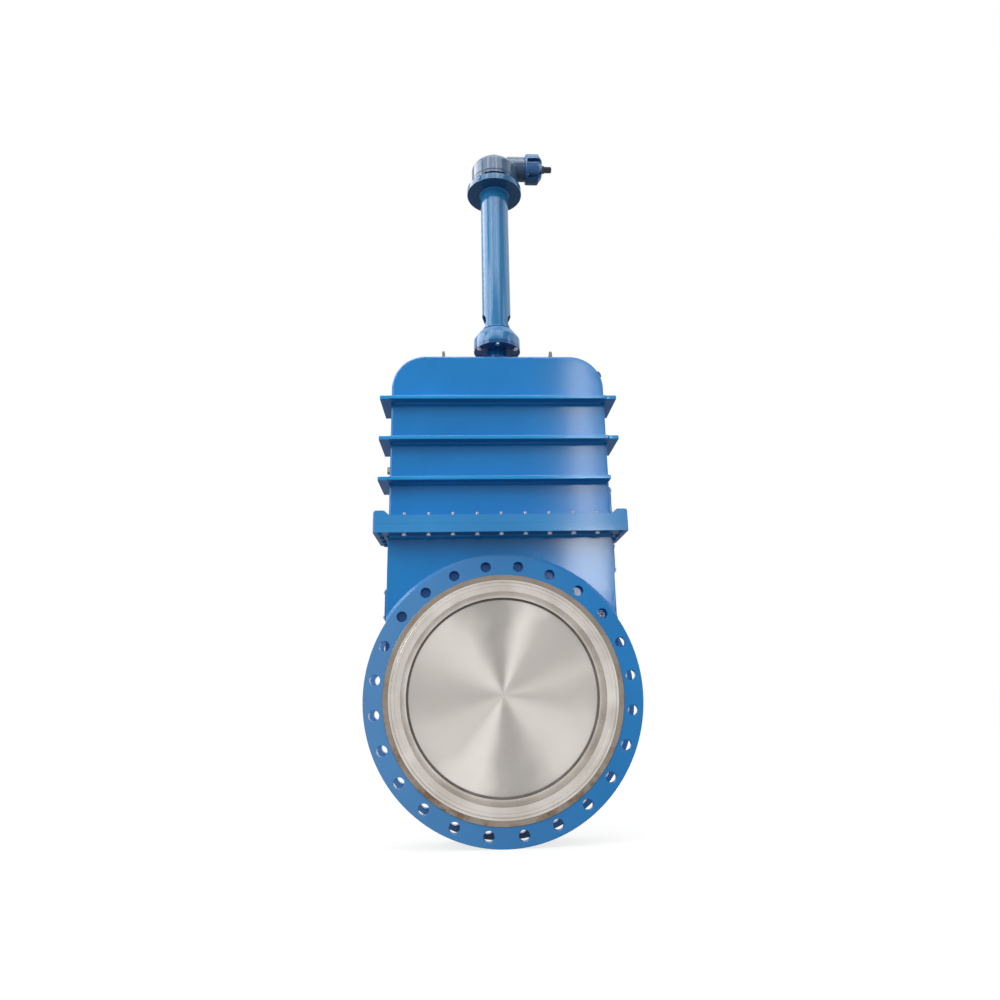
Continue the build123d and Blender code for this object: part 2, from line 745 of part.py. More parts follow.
cap_bolt_hole = post(cap_bolt_radius + bolt_clearance / 2, input_neck_end, cap_head_seat)
cap_thread = post(cap_bolt_radius + fitted, cap_bolt_tip, input_neck_end)
cap_bolt_places = around(input_cap_bolt_count, input_cap_bolt_circle_radius, 90)
for place in around(input_cap_bolt_count, input_cap_pocket_circle_radius, 90):
    cap -= place * pocket
for place in cap_bolt_places:
    cap -= place * cap_bolt_hole
    housing -= at_input * toward_x(place * cap_thread)
nodes["gearbox_housing"] = housing
nodes["input_bearing_cap"] = at_input * toward_x(cap)
cap_bolt = bolt(input_cap_bolt_diameter, -cap_head_seat, -cap_bolt_tip)
nodes["input_cap_bolts"] = group(
    [at_input * toward_x(place * Rot(180, 0, 0) * cap_bolt) for place in cap_bolt_places])
lug_screw = post(lug_screw_head_radius, yoke_top + lug_screw_sunk, screw_seat)
lug_screw += post(lug_bolt_radius, screw_seat, lug_thread_top)
nodes["gearbox_mounting_bolts"] = group([place * lug_screw for place in lug_bolt_places])


# Bevel gears, drawn with the apex at the origin and the axis along +Z
def involute(base, radius):
    """The involute angle at a radius, in radians."""
    angle = acos(min(1, base / radius))
    return tan(angle) - angle


def half_tooth(virtual_radius):
    """Half of an involute tooth as (half thickness, height over the pitch line) points."""
    base = virtual_radius * cos(radians(pressure_angle))
    pitch_angle = (pi * gear_module / 2 - gear_backlash / 2) / 2 / virtual_radius
    pitch_angle += involute(base, virtual_radius)
    low = max(base, virtual_radius - gear_dedendum)
    high = virtual_radius + gear_addendum
    points = [(low * (pitch_angle - involute(base, low)), -gear_dedendum - gear_root_sink)]
    for i in range(flank_steps + 1):
        radius = low + (high - low) * i / flank_steps
        half = radius * (pitch_angle - involute(base, radius))
        points.append((half, radius - virtual_radius))
    return points


def bevel_gear(teeth, cone_angle, back, bore):
    """A straight bevel gear: a cone blank and teeth that narrow towards the apex."""
    cone = radians(cone_angle)
    outer_point = Vector(cone_distance * sin(cone), 0, cone_distance * cos(cone))
    normal = Vector(cos(cone), 0, -sin(cone))
    small = (cone_distance - gear_face_width) / cone_distance
    half = half_tooth(gear_module * teeth / 2 / cos(cone))
    corners = half + [(-across_tooth, height) for across_tooth, height in reversed(half)]
    section = [outer_point + normal * height + Vector(0, side, 0) for side, height in corners]
    ends = [Face(Wire.make_polygon([point * k for point in section], close=True)) for k in (1.0, small)]
    tooth = loft(ends, ruled=True)
    root = outer_point - normal * gear_dedendum
    inner_root = root * small
    blank = turned((bore, inner_root.Z), (inner_root.X, inner_root.Z), (root.X, root.Z),
                   (root.X - gear_rim_taper, back), (bore, back))
    return blank + [Rot(0, 0, 360 * i / teeth) * tooth for i in range(teeth)]


wheel = bevel_gear(wheel_teeth, wheel_cone, wheel_bottom_drop, sleeve_radius + turning_fit)
wheel = Pos(0, 0, input_height) * Rot(180, 0, 0) * Rot(0, 0, 180 / wheel_teeth) * wheel
wheel_key = block(sleeve_radius - wheel_key_depth / 2, sleeve_radius + wheel_key_depth / 2,
                  -wheel_key_width / 2, wheel_key_width / 2, wheel_bottom, input_height - pinion_pitch_radius)
nodes["bevel_wheel"] = wheel - wheel_key
nodes["wheel_key"] = wheel_key
pinion = at_input * toward_x(bevel_gear(pinion_teeth, pinion_cone, pinion_back, shaft_radius + turning_fit))
pinion_front = (cone_distance - gear_face_width) * cos(radians(pinion_cone))
pinion_key = at_input * block(
    pinion_front + 2 * gear_dedendum, pinion_back, -pinion_key_width / 2, pinion_key_width / 2,
    shaft_radius - pinion_key_depth, shaft_radius + pinion_key_depth / 2)
nodes["bevel_pinion"] = pinion - pinion_key
nodes["pinion_key"] = pinion_key

# Drive sleeve with the stem nut in it
nut_bottom = sleeve_top - nut_length
nut_flange_low = sleeve_top - nut_flange_thickness
sleeve = turned(
    (nut_radius + fitted, sleeve_bottom), (sleeve_radius, sleeve_bottom), (sleeve_radius, sleeve_top),
    (nut_flange_radius + fitted, sleeve_top), (nut_flange_radius + fitted, nut_flange_low),
    (nut_radius + fitted, nut_flange_low))
nodes["drive_sleeve"] = sleeve - wheel_key
nodes["stem_nut"] = turned(
    (stem_radius + running, nut_bottom), (nut_radius, nut_bottom), (nut_radius, nut_flange_low),
    (nut_flange_radius, nut_flange_low), (nut_flange_radius, sleeve_top), (stem_radius + running, sleeve_top))


# Thrust bearings: two races and a ring of balls each
def thrust_bearing(inner, outer, low):
    """Two flat races with balls between them, standing on a height."""
    ball_radius = bearing_ball_diameter / 2
    high = low + thrust_bearing_height
    middle = (low + high) / 2
    ball_circle = (inner + outer) / 2
    races = [tube(outer, inner, low, low + race_thickness), tube(outer, inner, high - race_thickness, high)]
    groove = Pos(0, 0, middle) * Torus(ball_circle, ball_radius + turning_fit)
    balls = [place * Pos(0, 0, middle) * Sphere(ball_radius) for place in around(thrust_ball_count, ball_circle)]
    return group([race - groove for race in races] + balls)


nodes["lower_thrust_bearing"] = thrust_bearing(lower_race_inner, lower_race_outer, lower_bearing_bottom)
nodes["upper_thrust_bearing"] = thrust_bearing(upper_race_inner, upper_race_outer, sleeve_top)


# Input bearings, seal and shaft
def ball_bearing(low):
    """An inner ring on the shaft, an outer ring and balls, one bearing width long."""
    ball_radius = input_ball_diameter / 2
    high = low + input_bearing_width
    middle = (low + high) / 2
    inner_edge = shaft_radius + turning_fit
    ball_circle = (input_bearing_outer + inner_edge) / 2
    groove = Pos(0, 0, middle) * Torus(ball_circle, ball_radius + turning_fit)
    rings = [tube(inner_edge + input_ring_thickness, inner_edge, low, high),
             tube(input_bearing_outer, input_bearing_outer - input_ring_thickness, low, high)]
    balls = [place * Pos(0, 0, middle) * Sphere(ball_radius) for place in around(input_ball_count, ball_circle)]
    return [ring - groove for ring in rings] + balls


inner_bearing_low = input_spigot_start + input_bearing_lip
outer_bearing_low = cap_floor_low - input_bearing_width
nodes["input_bearings"] = group([at_input * toward_x(piece) for low in (inner_bearing_low, outer_bearing_low)
                                 for piece in ball_bearing(low)])
nodes["input_shaft_seal"] = at_input * toward_x(
    tube(input_seal_radius - fitted, shaft_radius + running, cap_floor_low, input_cap_end))
shaft = turned(
    (0, input_shaft_start), (shaft_radius, input_shaft_start),
    (shaft_radius, inner_bearing_low + input_bearing_width + running),
    (input_shaft_shoulder, inner_bearing_low + input_bearing_width + running),
    (input_shaft_shoulder, outer_bearing_low - running), (shaft_radius, outer_bearing_low - running),
    (shaft_radius, input_cap_end + running), (input_shaft_collar_radius, input_cap_end + running),
    (input_shaft_collar_tip_radius, input_shaft_collar_end), (shaft_radius, input_shaft_collar_end),
    (shaft_radius, input_shaft_end - shaft_end_chamfer), (shaft_radius - shaft_end_chamfer, input_shaft_end),
    (0, input_shaft_end))
nodes["input_shaft"] = at_input * toward_x(shaft) - pinion_key

# Gate, clevis, pin and stem
gate_outline = chest_outline(gate_half_width, gate_half_width, gate_top)
gate_plate = across(gate_outline, -gate_face, gate_face)
top_edges = gate_plate.edges().filter_by(Axis.Y).group_by(Axis.Z)[-1]
gate_plate = fillet(top_edges, gate_corner_radius)
lower_edges = gate_plate.edges().filter_by(GeomType.CIRCLE).group_by(Axis.Z)[0]
gate_plate = chamfer(lower_edges, gate_edge_chamfer)
pin_radius = clevis_pin_diameter / 2
half_clevis = clevis_depth / 2


def across_pin(radius, y_low, y_high):
    """A round bar along Y at the clevis pin."""
    return Pos(0, 0, clevis_pin_height) * rear(post(radius, y_low, y_high))


pin_hole = across_pin(pin_radius + turning_fit, -half_clevis, half_clevis)
nodes["gate_plate"] = gate_plate - pin_hole
clevis = block(-clevis_width / 2, clevis_width / 2, -half_clevis, half_clevis, clevis_bottom, clevis_top)
clevis -= block(-clevis_width / 2, clevis_width / 2, -gate_face - fitted, gate_face + fitted,
                clevis_bottom, gate_top + clevis_fork_gap)
socket_bottom = clevis_top - stem_socket_depth
clevis -= post(stem_radius + turning_fit, socket_bottom, clevis_top)
nodes["gate_clevis"] = clevis - pin_hole
split_pin_y = half_clevis + 2 * split_pin_radius
pin_end = split_pin_y + 2 * split_pin_radius
clevis_pin = across_pin(pin_radius, -half_clevis, pin_end)
clevis_pin += across_pin(pin_head_radius, -half_clevis - pin_head_thickness, -half_clevis)
split_low = clevis_pin_height - split_pin_half_length
split_high = clevis_pin_height + split_pin_half_length
clevis_pin -= Pos(0, split_pin_y, 0) * post(split_pin_radius + turning_fit, split_low, split_high)
nodes["clevis_pin"] = clevis_pin
nodes["clevis_split_pin"] = Pos(0, split_pin_y, 0) * post(split_pin_radius, split_low, split_high)
stem = post(stem_radius, socket_bottom, stem_top)
nodes["stem"] = chamfer(stem.edges().group_by(Axis.Z)[-1], stem_end_chamfer)

# Lifting eyes
eye_centre = bonnet_top + eye_height - eye_ring_outer
eye_ring = Pos(0, 0, eye_centre) * toward_x(Torus(eye_ring_outer - eye_ring_section, eye_ring_section))
eye = eye_ring + post(eye_collar_radius, bonnet_top, bonnet_top + eye_collar_height)
eye += post(eye_shank, bonnet_top - wall, bonnet_top)
nodes["lifting_eyes"] = group([Pos(side * eye_x, 0, 0) * eye for side in (-1, 1)])

# Vent plug on the right shoulder and flush plug on the left side
vent = hexagon(2 * vent_plug_radius, bonnet_shoulder_radius, bonnet_shoulder_radius + vent_plug_height)
vent += post(vent_hole_radius, bonnet_shoulder_radius - wall, bonnet_shoulder_radius)
nodes["vent_plug"] = vent_place * vent
plug = hexagon(flush_plug_flats, body_half_width, body_half_width + flush_plug_proud)
plug += post(flush_thread_radius, cavity_half_width, body_half_width)
nodes["flush_plug"] = Pos(0, 0, flush_plug_height) * Rot(0, -90, 0) * plug

# Side port covers, each held by four screws
cover_places = [Pos(0, 0, left_port_height) * Rot(0, -90, 0), Pos(0, 0, right_port_height) * Rot(0, 90, 0),
                Pos(0, 0, bonnet_port_height) * Rot(0, 90, 0)]
half_length = port_cover_length / 2
half_width = port_cover_width / 2
cover_top = body_half_width + port_cover_thickness
cover = block(-half_length, half_length, -half_width, half_width, body_half_width, cover_top)
cover = fillet(cover.edges().filter_by(Axis.Z), port_cover_corner)
cover_bolt_radius = port_cover_bolt_diameter / 2
screw_places = [Pos(a * (half_length - port_cover_bolt_inset), b * (half_width - port_cover_bolt_inset), 0)
                for a in (-1, 1) for b in (-1, 1)]
cover_screw_tip = body_half_width - port_cover_screw_grip
screw = Rot(180, 0, 0) * bolt(port_cover_bolt_diameter, -cover_top, -cover_screw_tip)
for place in screw_places:
    cover -= place * post(cover_bolt_radius + bolt_clearance / 2, body_half_width, cover_top)
nodes["side_port_covers"] = group([place * cover for place in cover_places])
nodes["port_cover_screws"] = group([place * spot * screw for place in cover_places for spot in screw_places])
for place, carrier in zip(cover_places, ("body_side_band", "body_side_band", "bonnet_shell")):
    for spot in screw_places:
        nodes[carrier] -= place * spot * post(cover_bolt_radius + fitted, cover_screw_tip, body_half_width)

# Drain nipple with its cap, at the lowest point that a pipe can reach past the flanges
cap_start = drain_reach - drain_cap_length
nipple_end = drain_reach - drain_cap_end_wall
nodes["drain_nipple"] = drain_place(
    tube(drain_nipple_radius, drain_nipple_radius - drain_nipple_wall, cavity_half_width + 1, nipple_end))
drain_cap = hexagon(drain_cap_flats, cap_start, drain_reach) - post(drain_nipple_radius + fitted, cap_start, nipple_end)
nodes["drain_cap"] = drain_place(drain_cap)

os.makedirs("parts", exist_ok=True)
for name, part in nodes.items():
    part.label = name
    export_step(part, f"parts/{name}.step")
    print(name, round(part.volume), len(part.solids()))
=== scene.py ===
import json
from math import cos, pi, radians, sin, tau

import bmesh
import bpy
from mathutils import Matrix, Vector, noise

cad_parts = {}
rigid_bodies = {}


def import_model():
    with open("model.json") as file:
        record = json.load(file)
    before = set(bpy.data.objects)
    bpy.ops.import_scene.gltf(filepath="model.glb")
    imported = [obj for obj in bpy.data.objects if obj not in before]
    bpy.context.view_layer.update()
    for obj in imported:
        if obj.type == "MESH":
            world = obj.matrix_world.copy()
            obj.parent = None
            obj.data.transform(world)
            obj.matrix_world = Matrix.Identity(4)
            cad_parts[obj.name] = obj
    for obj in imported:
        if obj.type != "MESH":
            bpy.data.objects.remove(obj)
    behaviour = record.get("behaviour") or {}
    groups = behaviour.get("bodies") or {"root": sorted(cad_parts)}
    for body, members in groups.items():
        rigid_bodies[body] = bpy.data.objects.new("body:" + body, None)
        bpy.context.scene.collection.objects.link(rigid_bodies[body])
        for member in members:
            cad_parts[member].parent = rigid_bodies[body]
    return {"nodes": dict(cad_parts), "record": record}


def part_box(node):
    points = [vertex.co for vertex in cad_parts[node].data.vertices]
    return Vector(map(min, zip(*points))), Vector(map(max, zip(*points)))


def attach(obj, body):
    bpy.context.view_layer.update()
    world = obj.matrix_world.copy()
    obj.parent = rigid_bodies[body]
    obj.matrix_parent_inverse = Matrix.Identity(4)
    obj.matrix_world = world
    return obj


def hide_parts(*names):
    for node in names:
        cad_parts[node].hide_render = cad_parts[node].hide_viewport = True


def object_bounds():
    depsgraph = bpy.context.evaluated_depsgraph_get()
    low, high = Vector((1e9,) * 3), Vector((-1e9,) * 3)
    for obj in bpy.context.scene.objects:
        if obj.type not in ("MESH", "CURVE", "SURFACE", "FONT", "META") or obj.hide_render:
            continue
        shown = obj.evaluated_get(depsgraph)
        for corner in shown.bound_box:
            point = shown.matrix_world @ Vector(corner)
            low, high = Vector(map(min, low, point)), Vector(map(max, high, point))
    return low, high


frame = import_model()
cad_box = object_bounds()
node = frame["nodes"]
bodies = frame["record"]["behaviour"]["bodies"]
body_of_node = {name: body for body, names in bodies.items() for name in names}
slot_of_node = {part["node"]: part["material_slot"] for part in frame["record"]["subparts"]}
scene = bpy.context.scene


# Sizes read from the frame
def low(name):
    return Vector(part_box(name)[0])


def high(name):
    return Vector(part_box(name)[1])


BONNET_TOP = high("bonnet_shell").z
BONNET_BOTTOM = low("bonnet_shell").z
BODY_TOP = low("body_top_flange").z
BODY_HALF_WIDTH = high("body_front_plate").x
CHEST_FACE = -low("body_front_plate").y
FLANGE_RADIUS = high("front_flange_ring").x
FLOOR_HEIGHT = cad_box[0][2]
TUBE_RADIUS = high("yoke_tube").x
NECK_RADIUS = 0.041
# The pipe flange is bare steel inside this radius
BARE_RADIUS = 0.4411
RIB_NAMES = ("lower_rib", "middle_rib", "upper_rib")


# Camera, fitted to the flange holes and to the chest's edges
def place_camera():
    """A camera where the photograph was taken from: low, a little to the left, looking up."""
    place = Vector((-0.117, -2.807, 0.035))
    yaw, pitch, roll = radians(3.11), radians(15.40), radians(-1.23)
    look = Vector((sin(yaw) * cos(pitch), cos(yaw) * cos(pitch), sin(pitch)))
    level = Vector((cos(yaw), -sin(yaw), 0))
    above = level.cross(look)
    right = cos(roll) * level + sin(roll) * above
    up = -sin(roll) * level + cos(roll) * above
    data = bpy.data.cameras.new("camera")
    data.sensor_width = 36
    data.lens = 25.77
    data.shift_x = -0.0082
    data.shift_y = -0.0119
    data.clip_end = 100
    camera = bpy.data.objects.new("camera", data)
    turn = Matrix((right, up, -look)).transposed()
    camera.matrix_world = Matrix.Translation(place) @ turn.to_4x4()
    scene.collection.objects.link(camera)
    scene.camera = camera


# Node trees
class Tree:
    """A material's node tree. A socket is linked, and any other value is set on the socket itself."""

    def __init__(self, name):
        self.material = bpy.data.materials.new(name)
        self.material.use_nodes = True
        self.tree = self.material.node_tree
        self.shader = self.tree.nodes["Principled BSDF"]
        self.output = self.tree.nodes["Material Output"]
        coordinates = self.tree.nodes.new("ShaderNodeTexCoord")
        self.place = coordinates.outputs["Object"]

    def add(self, kind, inputs=None, **settings):
        new = self.tree.nodes.new("ShaderNode" + kind)
        for name, value in settings.items():
            setattr(new, name, value)
        for name, value in (inputs or {}).items():
            self.give(new.inputs[name], value)
        return new

    def give(self, socket, value):
        if isinstance(value, bpy.types.NodeSocket):
            self.tree.links.new(value, socket)
        else:
            socket.default_value = value

    def math(self, operation, a, b=0.0, clamp=False):
        return self.add("Math", {0: a, 1: b}, operation=operation, use_clamp=clamp).outputs[0]

    def vector(self, operation, a, b=(0, 0, 0)):
        return self.add("VectorMath", {0: a, 1: b}, operation=operation).outputs[0]

    def noise(self, scale, detail=3.0, rough=0.5, vector=None, stretch=None):
        """Noise between 0 and 1 in object space, drawn out along an axis where stretch says so."""
        where = vector or self.place
        if stretch:
            where = self.add("Mapping", {"Vector": where, "Scale": stretch}).outputs[0]
        inputs = {"Vector": where, "Scale": scale, "Detail": detail, "Roughness": rough}
        return self.add("TexNoise", inputs).outputs[0]

    def lathe_marks(self, radius, rate, detail=3, rough=0.7):
        """Noise in fine rings round the bore's axis."""
        rings = self.add("CombineXYZ", {0: self.math("MULTIPLY", radius, rate)}).outputs[0]
        return self.noise(1.0, detail, rough, vector=rings)

    def ramp(self, value, start, end, low_value=0.0, high_value=1.0):
        """A clamped straight ramp from start to end."""
        inputs = {"Value": value, "From Min": start, "From Max": end,
                  "To Min": low_value, "To Max": high_value}
        return self.add("MapRange", inputs).outputs[0]

    def mix(self, factor, a, b):
        """A colour between a and b."""
        new = self.add("Mix", data_type="RGBA")
        self.give(new.inputs["Factor"], factor)
        self.give(new.inputs[6], a)
        self.give(new.inputs[7], b)
        return new.outputs[2]

    def bump(self, height, distance, strength=1.0, normal=None):
        inputs = {"Height": height, "Distance": distance, "Strength": strength}
        if normal:
            inputs["Normal"] = normal
        return self.add("Bump", inputs).outputs[0]

    def part(self, vector, axis):
        return self.add("SeparateXYZ", {0: vector}).outputs[axis]

    def set(self, **values):
        for name, value in values.items():
            self.give(self.shader.inputs[name.replace("_", " ")], value)

    def bore_radius(self):
        """Distance from the bore's axis."""
        flat = self.vector("MULTIPLY", self.place, (1, 0, 1))
        return self.add("VectorMath", {0: flat}, operation="LENGTH").outputs["Value"]

    def bore_tangent(self):
        """The direction round the bore's axis, along the marks of the lathe."""
        flat = self.vector("MULTIPLY", self.place, (1, 0, 1))
        return self.vector("NORMALIZE", self.vector("CROSS_PRODUCT", (0, 1, 0), flat))

    def bore_angle(self):
        """The angle round the bore, 0 at the top and growing to the right, in radians."""
        return self.math("ARCTAN2", self.part(self.place, 0), self.part(self.place, 2))


def grey(value):
    return (value, value, value, 1)


def paint_into(tree, base, dust_amount=0.25):
    """Glossy enamel: uneven colour, orange peel, small scuffs, dust on what faces up, painted shade
    darkening what faces down, a clear coat.
    """
    clouds = tree.noise(2.6, 4, 0.55)
    fine = tree.noise(60, 6, 0.6)
    pale = [min(1, c * 1.10 + 0.004) for c in base[:3]] + [1]
    deep = [c * 0.92 for c in base[:3]] + [1]
    colour = tree.mix(tree.ramp(clouds, 0.32, 0.68), deep, pale)
    up = tree.part(tree.add("NewGeometry").outputs["Normal"], 2)
    soft = tree.noise(11, 3, 0.45)
    patches = tree.ramp(soft, 0.25, 0.75, 0.35, 1.0)
    dust = tree.math("MULTIPLY", tree.ramp(up, 0.35, 0.95), patches, clamp=True)
    dust = tree.math("MULTIPLY", dust, dust_amount)
    colour = tree.mix(dust, colour, (0.42, 0.50, 0.56, 1))
    # Painted shade: faces that point down are darkened towards navy, and the same mask makes them rougher.
    underside_shade = tree.ramp(up, -0.45, -0.95, 0.0, 0.55)
    colour = tree.mix(underside_shade, colour, (0.002, 0.020, 0.060, 1))
    scuff = tree.ramp(tree.noise(38, 8, 0.62, stretch=(1, 1, 5)), 0.66, 0.74)
    colour = tree.mix(tree.math("MULTIPLY", scuff, 0.10), colour, (0.5, 0.62, 0.70, 1))
    peel = tree.noise(420, 2, 0.5)
    waves = tree.noise(9, 2, 0.5)
    normal = tree.bump(waves, 0.0010, 0.25)
    normal = tree.bump(peel, 0.00004, 0.30, normal)
    rough = tree.ramp(fine, 0.3, 0.75, 0.11, 0.17)
    rough = tree.math("ADD", rough, tree.math("MULTIPLY", dust, 0.9))
    rough = tree.math("ADD", rough, tree.math("MULTIPLY", underside_shade, 1.1))
    return colour, rough, normal


BLUE = (0.002, 0.208, 0.565, 1)


def make_blue_paint(name="blue_paint", base=BLUE, dust_amount=0.25):
    tree = Tree(name)
    colour, rough, normal = paint_into(tree, base, dust_amount)
    tree.set(Base_Color=colour, Roughness=rough, Normal=normal)
    tree.set(Coat_Weight=0.15, Coat_Roughness=0.10, Specular_IOR_Level=0.2)
    return tree.material


def make_flange_paint():
    """The pipe flange: enamel outside, paler towards the left as a painted highlight, inside it a bare
    machined ring, more stained towards the bottom.
    """
    tree = Tree("flange_paint")
    colour, rough, normal = paint_into(tree, BLUE)
    # Painted highlight: the enamel turns paler and greyer towards the left, where the light falls.
    lit_side_highlight = tree.ramp(tree.part(tree.place, 0), 0.35, -0.50, 0.0, 0.16)
    colour = tree.mix(lit_side_highlight, colour, (0.50, 0.60, 0.66, 1))
    radius = tree.bore_radius()
    bare = tree.math("SUBTRACT", 1.0, tree.ramp(radius, BARE_RADIUS, BARE_RADIUS + 0.0006))
    grooves = tree.lathe_marks(radius, 1400, 2, 0.6)
    low_side = tree.ramp(tree.part(tree.place, 2), 0.15, -0.40)
    stain = tree.ramp(tree.noise(14, 6, 0.7), 0.46, 0.62)
    stain = tree.math("MULTIPLY", stain, tree.ramp(low_side, 0, 1, 0.25, 1.0), clamp=True)
    steel = tree.mix(tree.ramp(grooves, 0.3, 0.7), (0.250, 0.205, 0.165, 1), (0.340, 0.290, 0.240, 1))
    steel = tree.mix(stain, steel, (0.150, 0.095, 0.060, 1))
    tree.set(Base_Color=tree.mix(bare, colour, steel), Metallic=tree.math("MULTIPLY", bare, 0.75))
    tree.set(Roughness=tree.math("ADD", tree.math("MULTIPLY", bare, 0.22), rough))
    tree.set(Normal=tree.bump(tree.math("MULTIPLY", grooves, bare), 0.00025, 0.5, normal))
    tree.set(Coat_Weight=0.15, Coat_Roughness=0.15, Specular_IOR_Level=0.25)
    return tree.material


def make_turned_steel():
    """Lathe-turned stainless: fine rings of grooves, a highlight across them, faint stains."""
    tree = Tree("turned_steel")
    radius = tree.bore_radius()
    fine = tree.lathe_marks(radius, 900)
    broad = tree.noise(7, 3, 0.5)
    colour = tree.mix(tree.ramp(broad, 0.35, 0.7), (0.50, 0.465, 0.425, 1), (0.67, 0.64, 0.60, 1))
    tree.set(Base_Color=colour, Metallic=1.0)
    tree.set(Roughness=tree.ramp(fine, 0.3, 0.7, 0.22, 0.36), Anisotropic=0.65)
    tree.set(Tangent=tree.bore_tangent(), Normal=tree.bump(fine, 0.00006, 0.5))
    return tree.material


# Painted reflection: where the gate's colour turns bright or dark in fans, standing in for the highlights on
# its turned face: clock angle in degrees, half width, strength
REFLECTION_FANS = {
    "dark_top": (-8, 17, -1.0), "bright_upper_right": (17, 11, 0.9), "dark_right": (48, 20, -0.5),
    "soft_right": (76, 12, 0.2), "dark_far_right": (94, 10, -0.3), "bright_lower_right": (126, 22, 0.55),
    "dark_bottom": (172, 20, -0.9), "bright_lower_left": (204, 13, 1.0), "soft_lower_left": (236, 16, 0.15),
    "dark_left": (268, 15, -0.45), "bright_upper_left": (318, 21, 0.7),
}


def make_gate_reflection_fans():
    """The gate's ground face: swirled round the bore's axis, with fans of painted reflection, brighter and
    darker, in its colour.
    """
    tree = Tree("gate_reflection_fans")
    angle = tree.bore_angle()
    radius = tree.bore_radius()
    wobble = tree.math("MULTIPLY", tree.math("SUBTRACT", tree.noise(5, 2, 0.5), 0.5), 0.5)
    bent = tree.math("ADD", angle, tree.math("MULTIPLY", wobble, tree.ramp(radius, 0.0, 0.3)))
    # Painted reflection: the fans brighten or darken the colour by the angle round the bore.
    total = 0.0
    for clock, half_width, strength in REFLECTION_FANS.values():
        away = tree.math("COSINE", tree.math("SUBTRACT", bent, radians(clock)))
        fan = tree.ramp(away, cos(radians(half_width * 1.5)), 1.0)
        fan = tree.math("MULTIPLY", tree.math("POWER", fan, 1.3), strength)
        total = tree.math("ADD", total, fan)
    fade = tree.ramp(radius, 0.0, 0.05)
    total = tree.math("MULTIPLY", total, fade)
    fine = tree.lathe_marks(radius, 700)
    smear = tree.noise(6, 4, 0.55)
    colour = tree.mix(tree.ramp(total, -1, 1), (0.36, 0.340, 0.315, 1), (0.76, 0.72, 0.675, 1))
    smudge = tree.math("MULTIPLY", tree.ramp(smear, 0.35, 0.7), 0.25)
    colour = tree.mix(smudge, colour, (0.52, 0.49, 0.457, 1))
    tree.set(Base_Color=colour, Metallic=1.0, Tangent=tree.bore_tangent(), Anisotropic=0.5)
    tree.set(Roughness=tree.ramp(fine, 0.3, 0.7, 0.30, 0.42), Normal=tree.bump(fine, 0.00004, 0.4))
    return tree.material


def make_metal(name, dark, light, rough_low, rough_high, scale=120, metallic=1.0, stain=None, depth=0.0001):
    """Bare metal with a fine uneven surface, and stains where a stain colour is given."""
    tree = Tree(name)
    fine = tree.noise(scale, 5, 0.6)
    colour = tree.mix(tree.ramp(fine, 0.3, 0.7), (*dark, 1), (*light, 1))
    if stain:
        spots = tree.ramp(tree.noise(scale * 0.35, 6, 0.65), 0.54, 0.68)
        colour = tree.mix(spots, colour, (*stain, 1))
    tree.set(Base_Color=colour, Metallic=metallic, Normal=tree.bump(fine, depth, 0.6))
    tree.set(Roughness=tree.ramp(fine, 0.25, 0.75, rough_low, rough_high))
    return tree.material


def make_dull(name, base, rough, scale=300, depth=0.00015, sheen=0.0):
    """Rubber, plastic or packing: a soft grain and a slightly uneven colour."""
    tree = Tree(name)
    fine = tree.noise(scale, 4, 0.6)
    broad = tree.noise(scale * 0.08, 3, 0.5)
    deep = [c * 0.75 for c in base] + [1]
    pale = [c * 1.3 for c in base] + [1]
    colour = tree.mix(tree.ramp(broad, 0.3, 0.7), deep, pale)
    tree.set(Base_Color=colour, Roughness=tree.ramp(fine, 0.3, 0.7, rough - 0.08, rough + 0.08))
    tree.set(Normal=tree.bump(fine, depth, 0.7), Sheen_Weight=sheen)
    return tree.material


def make_braid():
    """Graphite packing: two sets of slanted strands."""
    tree = Tree("graphite_braid")
    strands = [tree.add("TexWave", {"Vector": tree.place, "Scale": 220.0, "Distortion": 1.5},
                        bands_direction=axis).outputs["Fac"] for axis in ("DIAGONAL", "Z")]
    weave = tree.math("MULTIPLY", strands[0], strands[1])
    colour = tree.mix(weave, (0.03, 0.03, 0.03, 1), (0.13, 0.13, 0.135, 1))
    tree.set(Base_Color=colour, Roughness=tree.ramp(weave, 0, 1, 0.55, 0.35), Metallic=0.3)
    tree.set(Normal=tree.bump(weave, 0.0005, 0.8))
    return tree.material


material = {
    "blue_paint": make_blue_paint(),
    "stainless_gate": make_gate_reflection_fans(),
    "stainless_turned": make_turned_steel(),
    "zinc_steel": make_metal("zinc_plate", (0.42, 0.43, 0.44), (0.68, 0.68, 0.67), 0.28, 0.48,
                             stain=(0.30, 0.25, 0.19)),
    "dark_steel": make_metal("oiled_steel", (0.10, 0.10, 0.105), (0.22, 0.22, 0.22), 0.3, 0.5),
    "bearing_steel": make_metal("ground_steel", (0.55, 0.55, 0.56), (0.72, 0.72, 0.73), 0.12, 0.22, 400),
    "bronze": make_metal("stem_nut_bronze", (0.40, 0.23, 0.08), (0.62, 0.41, 0.18), 0.25, 0.42),
    "yellow_brass": make_metal("dull_brass", (0.33, 0.25, 0.12), (0.55, 0.44, 0.24), 0.3, 0.55,
                               stain=(0.06, 0.05, 0.04)),
    "seal_rubber": make_dull("seal_rubber", (0.14, 0.130, 0.118), 0.55),
    "packing": make_braid(),
    "guide_plastic": make_dull("guide_plastic", (0.62, 0.62, 0.57), 0.42),
    "black_plastic": make_dull("black_plastic", (0.014, 0.014, 0.016), 0.4),
}


